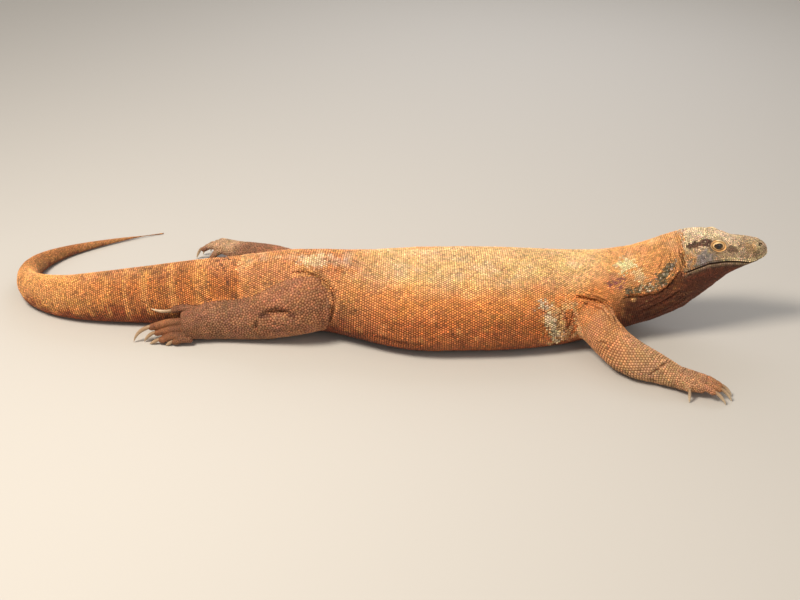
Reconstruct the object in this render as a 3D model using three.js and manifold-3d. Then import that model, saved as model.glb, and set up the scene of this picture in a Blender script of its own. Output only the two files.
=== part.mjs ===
/**
 * Komodo dragon, a life-size still model: a large adult lying on its belly with the head raised,
 * the forelegs set forward, the hind legs stretched back and the tail curled round behind.
 *
 * Millimetres. +X runs from the tail to the snout, +Y to the animal's left, +Z up from the floor.
 * The body is one smooth spine of cross sections, parted into named lengths by thin cuts. Each leg
 * is a second spine that starts inside the body, is trimmed back to its surface, and ends in a palm
 * or sole with five digits. Everything that rests on the floor is cut flat at the same level.
 */
import * as THREE from "three";
import { mergeVertices } from "three/addons/utils/BufferGeometryUtils.js";
import Module from "manifold-3d";

const wasm = await Module();
wasm.setup();

// ---------------------------------------------------------------- driving sizes

const PARTING = 0.3; // width of the thin cuts, and the clearance between neighbours
const FLOOR = 0; // level of everything the animal rests on
const HEAD_SIDES = 22; // corners of a cross section of the head
const BODY_SIDES = 24; // corners of a cross section of the trunk
const TAIL_SIDES = 16;
const LIMB_SIDES = 12;
const DIGIT_SIDES = 8;
const CLAW_SIDES = 6;
const CLAW_TIP = 0.7; // half thickness of a claw's point

const HEAD_Y = -80; // the head and neck lie a little to the right of the frame's middle
const TRUNK_Y = -72;
const EYE = { x: 815.5, side: 33.5, z: 249.5, radius: 11.5 };

/**
 * The body from snout to tail tip. Each row is one named cross section: where it stands on the
 * floor plan, half its width, and the heights of its crest, its widest level and its keel. The last
 * two numbers are the powers of the superellipse above and below the widest level.
 */
const SPINE = [
  ["snout_tip", 945, HEAD_Y, 9, 229, 221, 213, 2.0, 2.0],
  ["snout_front", 937, HEAD_Y, 21, 240, 221, 203, 2.2, 2.1],
  ["nostrils", 920, HEAD_Y, 30, 248, 219, 194, 2.4, 2.2],
  ["mid_snout", 886, HEAD_Y, 37, 252, 214, 179, 2.5, 2.2],
  ["snout_root", 852, HEAD_Y, 44, 256, 210, 158, 2.6, 2.1],
  ["eyes", 818, HEAD_Y, 53, 267, 204, 121, 2.6, 2.0],
  ["cheeks", 780, HEAD_Y, 63, 271, 196, 86, 2.5, 2.0],
  ["ears", 735, HEAD_Y, 70, 265, 180, 57, 2.3, 2.1],
  ["nape", 694, HEAD_Y, 76, 250, 158, 38, 2.2, 2.1],
  ["mid_neck", 650, HEAD_Y, 83, 233, 132, 22, 2.1, 2.1],
  ["neck_root", 600, -78, 95, 214, 112, 9, 2.1, 2.2],
  ["shoulders", 540, -75, 116, 199, 96, -4, 2.1, 2.3],
  ["armpits", 470, TRUNK_Y, 140, 191, 84, -10, 2.1, 2.4],
  ["ribs", 370, TRUNK_Y, 160, 188, 76, -12, 2.1, 2.5],
  ["mid_trunk", 240, TRUNK_Y, 171, 190, 74, -12, 2.1, 2.5],
  ["belly", 90, TRUNK_Y, 168, 189, 72, -12, 2.1, 2.5],
  ["flanks", -30, -69, 131, 193, 78, -7, 2.1, 2.2],
  ["hips", -130, -62, 99, 199, 90, -3, 2.1, 2.1],
  ["vent", -230, -57, 89, 196, 93, -4, 2.1, 2.2],
  ["tail_base", -330, -51, 75, 182, 88, -5, 2.0, 2.2],
  ["tail_thick", -440, -46, 62, 170, 80, -4, 2.0, 2.2],
  ["tail_2", -560, -45, 55, 153, 73, -4, 2.0, 2.2],
  ["tail_3", -680, -42, 48, 136, 65, -3, 2.0, 2.2],
  ["tail_4", -790, -22, 41, 114, 54, -3, 2.0, 2.2],
  ["tail_5", -878, 32, 34, 92, 43, -3, 2.0, 2.1],
  ["tail_bend", -916, 112, 28, 72, 34, -2, 2.0, 2.1],
  ["tail_6", -910, 196, 22, 55, 26, -2, 2.0, 2.1],
  ["tail_7", -862, 272, 16, 38, 18, -2, 2.0, 2.1],
  ["tail_8", -782, 332, 11, 25, 12, -1.5, 2.0, 2.0],
  ["tail_9", -695, 378, 6.5, 15, 7, -1, 2.0, 2.0],
  ["tail_tip", -606, 416, 1.6, 3.6, 1.8, -0.4, 2.0, 2.0],
];

/** Lengths of the body and the two sections between which each one lies. */
const LENGTHS = [
  ["neck", "ears", "shoulders", 0xc8803f],
  ["chest", "shoulders", "ribs", 0xc98a45],
  ["belly", "ribs", "flanks", 0xc98a45],
  ["pelvis", "flanks", "tail_base", 0xb88850],
  ["tail_base", "tail_base", "tail_2", 0xc98b3c],
  ["tail_thick", "tail_2", "tail_4", 0xc98b3c],
  ["tail_bend_near", "tail_4", "tail_bend", 0xb87630],
  ["tail_bend_far", "tail_bend", "tail_7", 0xb06d30],
  ["tail_thin", "tail_7", "tail_tip", 0xb06d30],
];

/** The mouth line seen from the side, from the snout to the corner and on to the jaw's hinge. */
const MOUTH_LINE = [
  [970, 218],
  [944, 214],
  [925, 205],
  [898, 202],
  [868, 209],
  [835, 213],
  [795, 213],
  [762, 203],
  [700, 180],
];

/** Where the lower jaw gives way to the hanging throat, seen from the side. */
const JAW_LINE = [
  [970, 196],
  [700, 131],
];

// ---------------------------------------------------------------- limbs

/**
 * Each leg's spine. A row is one cross section: its centre, half its width and half its height. The
 * bones run shoulder or hip, elbow or knee, wrist or ankle, and end at the knuckles.
 */
const LEGS = {
  right_fore: {
    colour: 0x8f7350,
    sections: [
      [474, -118, 94, 46, 52],
      [510, -162, 90, 49, 54],
      [544, -218, 72, 44, 50],
      [578, -264, 52, 43, 47],
      [624, -298, 40, 43, 40],
      [670, -328, 35, 34, 34],
      [704, -348, 30, 27, 27],
      [733, -360, 28, 31, 21],
      [762, -368, 25, 30, 17],
    ],
    names: ["upper_arm", "forearm", "hand"],
    cuts: [3.2, 6],
  },
  left_fore: {
    colour: 0x8f7350,
    sections: [
      [474, -32, 94, 46, 52],
      [508, 12, 90, 49, 54],
      [542, 62, 72, 44, 50],
      [578, 102, 52, 43, 47],
      [620, 134, 39, 42, 40],
      [660, 156, 34, 34, 34],
      [692, 168, 30, 27, 27],
      [720, 174, 28, 31, 21],
      [748, 178, 25, 30, 17],
    ],
    names: ["upper_arm", "forearm", "hand"],
    cuts: [3.2, 6],
  },
  right_hind: {
    colour: 0x85684a,
    sections: [
      [-98, -96, 88, 58, 66],
      [-158, -124, 98, 67, 77],
      [-214, -136, 86, 58, 73],
      [-266, -138, 66, 44, 62],
      [-314, -136, 56, 39, 55],
      [-364, -134, 52, 36, 51],
      [-404, -134, 50, 35, 50],
      [-436, -136, 46, 35, 42],
      [-470, -140, 40, 35, 33],
    ],
    names: ["thigh", "shank", "foot"],
    cuts: [3.2, 6],
  },
  left_hind: {
    colour: 0x85684a,
    sections: [
      [-150, -40, 88, 58, 62],
      [-182, 8, 86, 58, 60],
      [-216, 58, 82, 52, 54],
      [-252, 108, 77, 44, 46],
      [-292, 150, 67, 39, 41],
      [-332, 188, 58, 33, 35],
      [-366, 216, 54, 28, 29],
      [-400, 238, 52, 28, 21],
      [-434, 256, 51, 27, 17],
    ],
    names: ["thigh", "shank", "foot"],
    cuts: [3.2, 6],
  },
};

/**
 * The digits of each foot, first to fifth. A digit springs from the foot's last cross section:
 * `across` the foot, `back` along it and `above` it. It heads off at an angle on the floor plan, in
 * degrees, and reaches to its nail, whose height and thickness follow. The claw has its own reach,
 * the height of its tip and how far its back arches up.
 */
const DIGITS = {
  right_fore: [
    { across: 19, back: 8, above: 0, heading: -10, reach: 28, nail: 20, thick: 9, claw: [25, 0, 3] },
    { across: 7, back: 2, above: 2, heading: -20, reach: 35, nail: 24, thick: 9, claw: [28, 0, 3] },
    { across: -7, back: 2, above: 3, heading: -25, reach: 35, nail: 25, thick: 9, claw: [30, 0, 3] },
    { across: -20, back: 6, above: 2, heading: -31, reach: 27, nail: 24, thick: 9, claw: [31, 0, 3] },
    { across: -8, back: 40, above: 2, heading: -92, reach: 20, nail: 25, thick: 9.5, claw: [21, 0, 4] },
  ],
  left_fore: [
    { across: -19, back: 8, above: 0, heading: -20, reach: 24, nail: 20, thick: 9, claw: [24, 0, 3] },
    { across: -8, back: 2, above: 2, heading: -3, reach: 31, nail: 24, thick: 9, claw: [26, 0, 3] },
    { across: 4, back: 0, above: 3, heading: 10, reach: 32, nail: 25, thick: 9, claw: [28, 0, 3] },
    { across: 16, back: 4, above: 2, heading: 24, reach: 28, nail: 24, thick: 9, claw: [29, 0, 3] },
    { across: 12, back: 36, above: 2, heading: 84, reach: 22, nail: 22, thick: 9.5, claw: [21, 0, 4] },
  ],
  right_hind: [
    { across: 27, back: 6, above: -23, heading: 183, reach: 28, nail: 11, thick: 10, claw: [23, 0, 3] },
    { across: 21, back: 0, above: -14, heading: 181, reach: 56, nail: 13, thick: 10, claw: [28, 0, 3] },
    { across: 8, back: 0, above: -4, heading: 182, reach: 66, nail: 26, thick: 10, claw: [32, 0, 5] },
    { across: -6, back: 0, above: 8, heading: 189, reach: 78, nail: 40, thick: 10.5, claw: [46, 0, 6] },
    { across: -26, back: 22, above: 27, heading: 178, reach: 46, nail: 66, thick: 9, claw: [54, 70, -10] },
  ],
  left_hind: [
    { across: -22, back: 6, above: -2, heading: 118, reach: 26, nail: 28, thick: 9, claw: [20, 0, 4] },
    { across: -12, back: 0, above: 0, heading: 132, reach: 32, nail: 32, thick: 9, claw: [21, 0, 4] },
    { across: 0, back: 0, above: 2, heading: 145, reach: 37, nail: 34, thick: 9, claw: [22, 0, 4] },
    { across: 12, back: 0, above: 2, heading: 158, reach: 39, nail: 34, thick: 9, claw: [23, 0, 4] },
    { across: 22, back: 22, above: 0, heading: 196, reach: 26, nail: 26, thick: 9, claw: [20, 0, 4] },
  ],
};

// ---------------------------------------------------------------- shaping functions

const UP = new THREE.Vector3(0, 0, 1);

/** A closed triangle mesh as a solid that can be joined and cut. */
function solidOf(positions, triangles) {
  const mesh = new wasm.Mesh({
    numProp: 3,
    vertProperties: new Float32Array(positions),
    triVerts: new Uint32Array(triangles),
  });
  return new wasm.Manifold(mesh);
}

/** A three.js geometry as a solid. */
function solidOfGeometry(geometry) {
  const bare = geometry.clone();
  bare.deleteAttribute("normal");
  bare.deleteAttribute("uv");
  const merged = mergeVertices(bare, 1e-4);
  return solidOf(merged.attributes.position.array, merged.index.array);
}

/** Cubic through four evenly spaced values, at a fraction between the middle two. */
function cubic(a, b, c, d, fraction) {
  const f = fraction;
  const slopeB = (c - a) / 2;
  const slopeC = (d - b) / 2;
  return (
    (2 * f ** 3 - 3 * f ** 2 + 1) * b +
    (f ** 3 - 2 * f ** 2 + f) * slopeB +
    (3 * f ** 2 - 2 * f ** 3) * c +
    (f ** 3 - f ** 2) * slopeC
  );
}

/** A row of equal-length number lists, read at any place between them. */
function readBetween(rows, place) {
  const last = rows.length - 1;
  const index = Math.min(Math.max(Math.floor(place), 0), last - 1);
  const row = (i) => rows[Math.min(Math.max(i, 0), last)];
  return rows[0].map((_, k) =>
    cubic(row(index - 1)[k], row(index)[k], row(index + 1)[k], row(index + 2)[k], place - index),
  );
}

/** One corner of a superellipse whose upper and lower halves have their own height and power. */
function corner(angle, wide, high, low, powerHigh, powerLow) {
  const above = Math.sin(angle) >= 0;
  const power = above ? powerHigh : powerLow;
  const across = Math.sign(Math.cos(angle)) * Math.abs(Math.cos(angle)) ** (2 / power) * wide;
  const rise = Math.abs(Math.sin(angle)) ** (2 / power) * (above ? high : -low);
  return [across, rise];
}

/**
 * A tube of cross sections. Rows are [x, y, z, wide, high, low, powerHigh, powerLow]. `level` keeps
 * the sections upright. `grow` makes the whole tube larger, for cutting a clearance.
 */
class Tube {
  constructor(rows, { sides, step, level = false }) {
    this.rows = rows;
    this.sides = sides;
    this.step = step;
    this.level = level;
  }

  centre(place) {
    return new THREE.Vector3(...readBetween(this.rows, place).slice(0, 3));
  }

  tangent(place) {
    const reach = 0.02;
    const last = this.rows.length - 1;
    const ahead = this.centre(Math.min(place + reach, last));
    const behind = this.centre(Math.max(place - reach, 0));
    const direction = ahead.sub(behind);
    if (this.level) direction.z = 0;
    return direction.normalize();
  }

  /** The ring of corners at a place along the tube. */
  ring(place, grow = 0) {
    const [, , , wide, high, low, powerHigh, powerLow] = readBetween(this.rows, place);
    const forward = this.tangent(place);
    const side = new THREE.Vector3().crossVectors(UP, forward).normalize();
    const rise = new THREE.Vector3().crossVectors(forward, side);
    const middle = this.centre(place);
    const points = [];
    for (let i = 0; i < this.sides; i += 1) {
      const angle = ((i + 0.5) / this.sides) * Math.PI * 2;
      const [a, b] = corner(angle, wide + grow, high + grow, low + grow, powerHigh, powerLow);
      points.push(middle.clone().addScaledVector(side, a).addScaledVector(rise, b));
    }
    return points;
  }

  /** Places for the rings from one place to another, about `step` apart. */
  places(from, to) {
    const list = [from];
    for (let index = Math.floor(from); index < to; index += 1) {
      const start = Math.max(index, from);
      const end = Math.min(index + 1, to);
      if (end - start < 1e-6) continue;
      const length = this.centre(start).distanceTo(this.centre(end));
      const count = Math.max(1, Math.round(length / this.step));
      for (let i = 1; i <= count; i += 1) list.push(start + ((end - start) * i) / count);
    }
    return list;
  }

  /** The solid between two places. Ends that are `parted` stand back by half a parting. */
  solid({ from = 0, to = this.rows.length - 1, grow = 0, partedFrom = false, partedTo = false } = {}) {
    const inset = (place) => {
      const probe = 0.01;
      const speed = this.centre(place).distanceTo(this.centre(place + probe)) / probe;
      return PARTING / 2 / speed;
    };
    const start = partedFrom ? from + inset(from) : from;
    const end = partedTo ? to - inset(to - 0.02) : to;
    const rings = this.places(start, end).map((place) => this.ring(place, grow));
    return loft(rings);
  }
}

/** Joins rings of corners into a closed solid with flat ends. */
function loft(rings) {
  const sides = rings[0].length;
  const positions = rings.flat().flatMap((p) => [p.x, p.y, p.z]);
  const triangles = [];
  for (let r = 0; r + 1 < rings.length; r += 1) {
    for (let i = 0; i < sides; i += 1) {
      const j = (i + 1) % sides;
      const [a, b] = [r * sides + i, r * sides + j];
      const [c, d] = [a + sides, b + sides];
      triangles.push(a, b, d, a, d, c);
    }
  }
  const far = (rings.length - 1) * sides;
  for (let i = 1; i + 1 < sides; i += 1) {
    triangles.push(0, i + 1, i);
    triangles.push(far, far + i, far + i + 1);
  }
  const solid = solidOf(positions, triangles);
  if (solid.volume() > 0) return solid;
  for (let t = 0; t < triangles.length; t += 3) {
    [triangles[t + 1], triangles[t + 2]] = [triangles[t + 2], triangles[t + 1]];
  }
  return solidOf(positions, triangles);
}

/** A large block that holds everything above the floor. */
function aboveFloor() {
  const size = 4000;
  const block = new THREE.BoxGeometry(size, size, size);
  block.translate(0, 0, FLOOR + size / 2);
  return solidOfGeometry(block);
}

/** A slab across the head whose outline, seen from the side, is a closed list of [x, z]. */
function sideSlab(outline) {
  const shape = new THREE.Shape(outline.map(([x, z]) => new THREE.Vector2(x, z)));
  const depth = 300;
  const slab = new THREE.ExtrudeGeometry(shape, { depth, bevelEnabled: false });
  slab.rotateX(Math.PI / 2);
  slab.translate(0, HEAD_Y + depth / 2, 0);
  return solidOfGeometry(slab);
}

const floorCut = aboveFloor();

// ---------------------------------------------------------------- the body

const spineRows = SPINE.map(([, x, y, wide, crest, widest, keel, powerHigh, powerLow]) => [
  x,
  y,
  widest,
  wide,
  crest - widest,
  widest - keel,
  powerHigh,
  powerLow,
]);
const spinePlace = (name) => SPINE.findIndex((row) => row[0] === name);
const trunkTube = new Tube(spineRows, { sides: BODY_SIDES, step: 42, level: true });
const tailTube = new Tube(spineRows, { sides: TAIL_SIDES, step: 36, level: true });
const headTube = new Tube(spineRows, { sides: HEAD_SIDES, step: 20, level: true });

const solids = new Map();
const colours = new Map();

function keep(name, solid, colour) {
  solids.set(name, solid.intersect(floorCut));
  colours.set(name, colour);
}

function makeBodyLengths() {
  const tailStart = spinePlace("tail_base");
  const end = SPINE.length - 1;
  for (const [name, front, back, colour] of LENGTHS) {
    const from = spinePlace(front);
    const to = spinePlace(back);
    const tube = from >= tailStart ? tailTube : trunkTube;
    keep(name, tube.solid({ from, to, partedFrom: true, partedTo: to < end }), colour);
  }
}

/** The head, its lower jaw, the hanging throat and the two eyeballs. */
function makeHead() {
  const whole = headTube.solid({ to: spinePlace("ears"), partedTo: true });
  const shifted = (line, dz) => line.map(([x, z]) => [x, z + dz]);
  const half = PARTING / 2;
  const [left, right, top, bottom] = [690, 980, 320, -20];
  const roof = sideSlab([...shifted(MOUTH_LINE, half), [left, top], [right, top]]);
  const jaw = sideSlab([...shifted(MOUTH_LINE, -half), ...shifted(JAW_LINE, half).reverse()]);
  const throat = sideSlab([...shifted(JAW_LINE, -half), [left, bottom], [right, bottom]]);
  let skull = whole.intersect(roof);
  for (const [name, sign] of [["eye_right", -1], ["eye_left", 1]]) {
    const ball = (radius) => {
      const sphere = new THREE.SphereGeometry(radius, 12, 8);
      sphere.translate(EYE.x, HEAD_Y + sign * EYE.side, EYE.z);
      return solidOfGeometry(sphere);
    };
    skull = skull.subtract(ball(EYE.radius + PARTING));
    keep(name, ball(EYE.radius), 0x2a1a0c);
  }
  keep("head", skull, 0x8c8260);
  keep("lower_jaw", whole.intersect(jaw), 0x8c8260);
  keep("throat", whole.intersect(throat), 0x6e4a30);
}

// ---------------------------------------------------------------- the legs

/** Rows of a digit, from inside the foot over the knuckle to the nail. */
function digitOf(foot, { across, back, above, heading, reach, nail: nailHeight, thick, claw }) {
  const angle = THREE.MathUtils.degToRad(heading);
  const along = new THREE.Vector3(Math.cos(angle), Math.sin(angle), 0);
  const root = foot.end.clone().addScaledVector(foot.side, across);
  root.addScaledVector(foot.forward, -back);
  root.z += above;
  const start = root.clone().addScaledVector(along, -1.5 * thick);
  const knuckle = root.clone().addScaledVector(along, reach * 0.5);
  knuckle.z = (root.z + nailHeight) / 2 + thick * 0.45;
  const nail = root.clone().addScaledVector(along, reach);
  nail.z = nailHeight;
  const tip = nail.clone().addScaledVector(along, thick * 0.7);
  tip.z -= thick * 0.3;
  const row = (p, half) => [p.x, p.y, p.z, half, half, half, 2, 2];
  const rows = [row(start, thick), row(knuckle, thick), row(nail, thick * 0.9), row(tip, thick * 0.5)];
  return { rows, nail, along, thick, claw };
}

/** Rows of a claw: a curved horn that leaves the digit's end and hooks over to its tip. */
function clawRows({ nail, along, thick, claw }) {
  const [reach, tipHeight, arch] = claw;
  const shoulder = nail.clone().addScaledVector(along, reach * 0.8);
  shoulder.z += arch;
  const tip = nail.clone().addScaledVector(along, reach);
  tip.z = tipHeight + CLAW_TIP;
  const hook = new THREE.QuadraticBezierCurve3(nail, shoulder, tip);
  const stages = 3;
  const rows = [];
  for (let i = 0; i <= stages; i += 1) {
    const point = hook.getPoint(i / stages);
    const half = THREE.MathUtils.lerp(thick * 0.6, CLAW_TIP, (i / stages) ** 1.2);
    rows.push([point.x, point.y, point.z, half * 0.8, half, half, 2, 2]);
  }
  return rows;
}

function makeLeg(key, bodyCut) {
  const leg = LEGS[key];
  const side = key.split("_")[0];
  const rows = leg.sections.map(([x, y, z, wide, high]) => [x, y, z, wide, high, high, 2.1, 2.1]);
  const tube = new Tube(rows, { sides: LIMB_SIDES, step: 34 });
  const last = rows.length - 1;
  const [middleCut, endCut] = leg.cuts;
  const [upperName, lowerName, footName] = leg.names.map((name) => `${side}_${name}`);
  const upper = tube.solid({ to: middleCut, partedTo: true });
  const lower = tube.solid({ from: middleCut, to: endCut, partedFrom: true, partedTo: true });
  let foot = tube.solid({ from: endCut, partedFrom: true });
  const forward = tube.tangent(last);
  const flatSide = new THREE.Vector3().crossVectors(UP, forward).normalize();
  const socket = { end: tube.centre(last), forward, side: flatSide };
  const digits = DIGITS[key].map((spec) => digitOf(socket, spec));
  const digitTubes = digits.map((d) => new Tube(d.rows, { sides: DIGIT_SIDES, step: 60 }));
  digitTubes.forEach((digitTube) => {
    foot = foot.add(digitTube.solid());
  });
  const lowerGrown = tube.solid({ from: middleCut, to: endCut, grow: PARTING });
  foot = foot.subtract(bodyCut).subtract(lowerGrown);
  digits.forEach((digit, index) => {
    const clawTube = new Tube(clawRows(digit), { sides: CLAW_SIDES, step: 30 });
    let claw = clawTube.solid();
    digitTubes.forEach((digitTube) => {
      claw = claw.subtract(digitTube.solid({ grow: PARTING }));
    });
    keep(`${footName}_claw_${index + 1}`, claw, 0x4a4238);
  });
  keep(upperName, upper.subtract(bodyCut), leg.colour);
  keep(lowerName, lower.subtract(bodyCut), leg.colour);
  keep(footName, foot, leg.colour);
}

/** The body a little larger, so that what is cut by it keeps the clearance. */
function grownBody() {
  const tailStart = spinePlace("tail_base");
  const from = spinePlace("ears");
  const lap = 0.05; // the two runs pass each other by this share of a section's spacing
  const front = trunkTube.solid({ from, to: tailStart + lap, grow: PARTING });
  const back = tailTube.solid({ from: tailStart - lap, to: spinePlace("tail_4"), grow: PARTING });
  return front.add(back);
}

// ---------------------------------------------------------------- assembly

makeHead();
makeBodyLengths();
const bodyCut = grownBody();
for (const key of Object.keys(LEGS)) makeLeg(key, bodyCut);

/** A named mesh of a solid, in the colour of its skin or horn. */
function meshOf(name, solid) {
  const { vertProperties, triVerts } = solid.getMesh();
  const geometry = new THREE.BufferGeometry();
  geometry.setAttribute("position", new THREE.BufferAttribute(vertProperties, 3));
  geometry.setIndex(new THREE.BufferAttribute(triVerts, 1));
  geometry.computeVertexNormals();
  const material = new THREE.MeshStandardMaterial({
    color: colours.get(name),
    roughness: 0.7,
    metalness: 0,
  });
  const mesh = new THREE.Mesh(geometry, material);
  mesh.name = name;
  return mesh;
}

const dragon = new THREE.Group();
dragon.name = "komodo_dragon";
for (const [name, solid] of solids) dragon.add(meshOf(name, solid));

export default dragon;
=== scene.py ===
"""A life-size museum model of a Komodo dragon, resting on its belly with its head raised.

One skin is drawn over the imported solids, folds and lids are worked into it, and a coat of separate
scales is laid over it in rows. The eyes and the claws stay pieces of their own.
"""

import sys
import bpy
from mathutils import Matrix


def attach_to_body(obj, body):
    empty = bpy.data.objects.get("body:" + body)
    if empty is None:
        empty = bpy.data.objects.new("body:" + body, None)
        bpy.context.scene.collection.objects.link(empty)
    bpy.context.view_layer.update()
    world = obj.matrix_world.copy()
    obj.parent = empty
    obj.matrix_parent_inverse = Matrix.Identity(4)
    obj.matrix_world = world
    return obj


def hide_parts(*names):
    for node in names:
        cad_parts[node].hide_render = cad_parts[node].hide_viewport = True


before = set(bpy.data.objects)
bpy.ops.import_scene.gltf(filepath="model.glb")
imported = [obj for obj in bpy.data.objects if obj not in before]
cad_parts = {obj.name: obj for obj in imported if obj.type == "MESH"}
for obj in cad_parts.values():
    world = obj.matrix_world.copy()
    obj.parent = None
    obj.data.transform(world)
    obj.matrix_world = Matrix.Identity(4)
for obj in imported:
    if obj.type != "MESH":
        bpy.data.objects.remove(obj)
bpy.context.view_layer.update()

import itertools
import logging
import math
from collections.abc import Iterable, Sequence
from dataclasses import dataclass, field, fields, replace
from enum import Enum, IntEnum

import bmesh
import bpy
import numpy as np
from bpy.types import Material, Mesh, Node, NodeSocket, NodeTree, Object
from mathutils import Vector
from mathutils.bvhtree import BVHTree
from mathutils.kdtree import KDTree

log = logging.getLogger("dragon")

MM = 0.001
HEAD_Y = -80.0  # middle plane of the head, in millimetres
TRUNK_Y = -72.0
COAT_DEPTH = 0.9 * MM  # how far the skin lies under the tops of the solids
FLOOR_GAP = 1.5 * MM  # room left under the skin for the scales it rests on

Point = tuple[float, float, float]
Span = tuple[float, float]
Sockets = tuple[NodeSocket, NodeSocket]
Array = np.ndarray


# ---------------------------------------------------------------- small helpers


def linear(hex_colour: str) -> tuple[float, float, float, float]:
    """Turns an sRGB colour such as "#c08040" into linear red, green, blue and alpha.

    Args:
        hex_colour: The colour as six hexadecimal digits after a hash.

    Returns:
        Linear light values from 0 to 1, with alpha 1.
    """
    parts = [int(hex_colour[i : i + 2], 16) / 255 for i in (1, 3, 5)]
    r, g, b = (c / 12.92 if c <= 0.04045 else ((c + 0.055) / 1.055) ** 2.4 for c in parts)
    return r, g, b, 1.0


def rgb(hex_colour: str) -> Array:
    """The linear red, green and blue of an sRGB hex colour as an array."""
    return np.array(linear(hex_colour)[:3])


def unit(v: Array) -> Array:
    """Rows of v scaled to length one."""
    return v / np.maximum(np.linalg.norm(v, axis=-1, keepdims=True), 1e-12)


def ramp(x: Array, low: float, high: float) -> Array:
    """A smooth step of x from 0 at low to 1 at high; high may be the smaller one."""
    t = np.clip((x - low) / (high - low), 0.0, 1.0)
    return t * t * (3 - 2 * t)


def value_noise(points: Array, size: float, seed: int) -> Array:
    """A smooth random field through space, the same on every run.

    Args:
        points: Places as rows of x, y, z in metres.
        size: Distance in metres over which the field changes.
        seed: Picks one field among many.

    Returns:
        One value from -1 to 1 for each place.
    """
    q = points / size
    cell = np.floor(q).astype(np.int64)
    f = q - cell
    f = f * f * (3 - 2 * f)
    total = np.zeros(len(points))
    for corner in itertools.product((0, 1), repeat=3):
        c = cell + corner
        h = c[:, 0] * 73856093 ^ c[:, 1] * 19349663 ^ c[:, 2] * 83492791 ^ seed * 83492
        h = (h ^ (h >> 13)) * 1274126177 & 0x7FFFFFFF
        h = (h ^ (h >> 15)) * 668265263 & 0x7FFFFFFF
        w = np.prod(np.where(corner, f, 1 - f), axis=1)
        total += ((h & 0xFFFF) / 32768.0 - 1.0) * w
    return total


def speckle(points: Array, size: float, seed: int, octaves: int = 3) -> Array:
    """Value noise summed over octaves, each half the size of the last.

    Args:
        points: Places as rows of x, y, z in metres.
        size: Distance in metres over which the first octave changes.
        seed: Picks one field among many.
        octaves: How many are summed.

    Returns:
        One value from about -1 to 1 for each place.
    """
    total, weight, norm = np.zeros(len(points)), 1.0, 0.0
    for k in range(octaves):
        total += weight * value_noise(points, size / 2**k, seed + 17 * k)
        norm += weight
        weight *= 0.55
    return total / norm * 1.6


def polyline_distance(points: Array, line: Array) -> tuple[Array, Array, Array]:
    """Measures each point against a line of straight stretches.

    Args:
        points: Places as rows of x, y, z.
        line: The line's corners as rows of x, y, z.

    Returns:
        The distance, the share of the line's length at the nearest place, and that place.
    """
    steps = np.linalg.norm(np.diff(line, axis=0), axis=1)
    along = np.concatenate([[0.0], np.cumsum(steps)])
    best = np.full(len(points), np.inf)
    share = np.zeros(len(points))
    place = np.zeros_like(points)
    for k, step in enumerate(steps):
        a, ab = line[k], line[k + 1] - line[k]
        t = np.clip((points - a) @ ab / max(ab @ ab, 1e-18), 0.0, 1.0)
        q = a + t[:, None] * ab
        d = np.linalg.norm(points - q, axis=1)
        near = d < best
        best[near], place[near] = d[near], q[near]
        share[near] = (along[k] + t[near] * step) / along[-1]
    return best, share, place


def linked(name: str, data: bpy.types.ID) -> Object:
    """Makes an object of a mesh, lamp or camera and puts it in the scene.

    Args:
        name: The object's name.
        data: What it holds.

    Returns:
        The new object, at the origin.
    """
    obj = bpy.data.objects.new(name, data)
    bpy.context.scene.collection.objects.link(obj)
    return obj


def mesh_object(name: str, verts: Array, faces: Sequence[Sequence[int]] | Array) -> Object:
    """Makes a linked mesh object at the origin with smooth faces.

    Args:
        name: The object's name.
        verts: Corners as rows of x, y, z in metres.
        faces: Corner numbers of each face.

    Returns:
        The new object.
    """
    mesh = bpy.data.meshes.new(name)
    faces = faces.tolist() if isinstance(faces, np.ndarray) else faces
    mesh.from_pydata(np.asarray(verts).tolist(), [], faces)
    mesh.update()
    mesh.shade_smooth()
    return linked(name, mesh)


def rows_of(items: Sequence, key: str, width: int = 3, kind: type = np.float32) -> Array:
    """Reads one value, or a few, from each of a mesh's items.

    Args:
        items: The mesh's corners, normals, edges or triangles.
        key: What is read.
        width: How many numbers each item gives.
        kind: The kind of number.

    Returns:
        One row for each item.
    """
    flat = np.empty(len(items) * width, kind)
    items.foreach_get(key, flat)
    return flat.reshape(-1, width)


def positions(mesh: Mesh) -> Array:
    """The mesh's corners as rows of x, y, z."""
    return rows_of(mesh.vertices, "co").astype(float)


def place_corners(mesh: Mesh, points: Array) -> None:
    """Moves the mesh's corners to the rows of points."""
    mesh.vertices.foreach_set("co", points.astype(np.float32).ravel())
    mesh.update()


def triangles(mesh: Mesh) -> Array:
    """The corner numbers of the mesh's triangles."""
    mesh.calc_loop_triangles()
    return rows_of(mesh.loop_triangles, "vertices", 3, np.int32)


class Neighbours:
    """Which corners of a mesh share an edge."""

    def __init__(self, mesh: Mesh) -> None:
        """Reads the mesh's edges.

        Args:
            mesh: The mesh.
        """
        self.a, self.b = rows_of(mesh.edges, "vertices", 2, np.int32).T
        self.count = len(mesh.vertices)
        self.degree = np.maximum(self.total(np.ones(self.count)), 1)

    def total(self, values: Array) -> Array:
        """The sum over each corner's neighbours."""
        a, b = self.a, self.b
        return np.bincount(a, values[b], self.count) + np.bincount(b, values[a], self.count)

    def mean(self, values: Array) -> Array:
        """The mean of each corner's neighbours."""
        return self.total(values) / self.degree

    def ease(self, columns: Sequence[Array], weight: Array, passes: int) -> list[Array]:
        """Draws each corner towards its neighbours, again and again.

        Args:
            columns: The corners' x, y and z.
            weight: How far each corner goes at one pass, as a share.
            passes: How often.

        Returns:
            The eased x, y and z.
        """
        for _ in range(passes):
            columns = [c + weight * (self.mean(c) - c) for c in columns]
        return list(columns)


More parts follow.
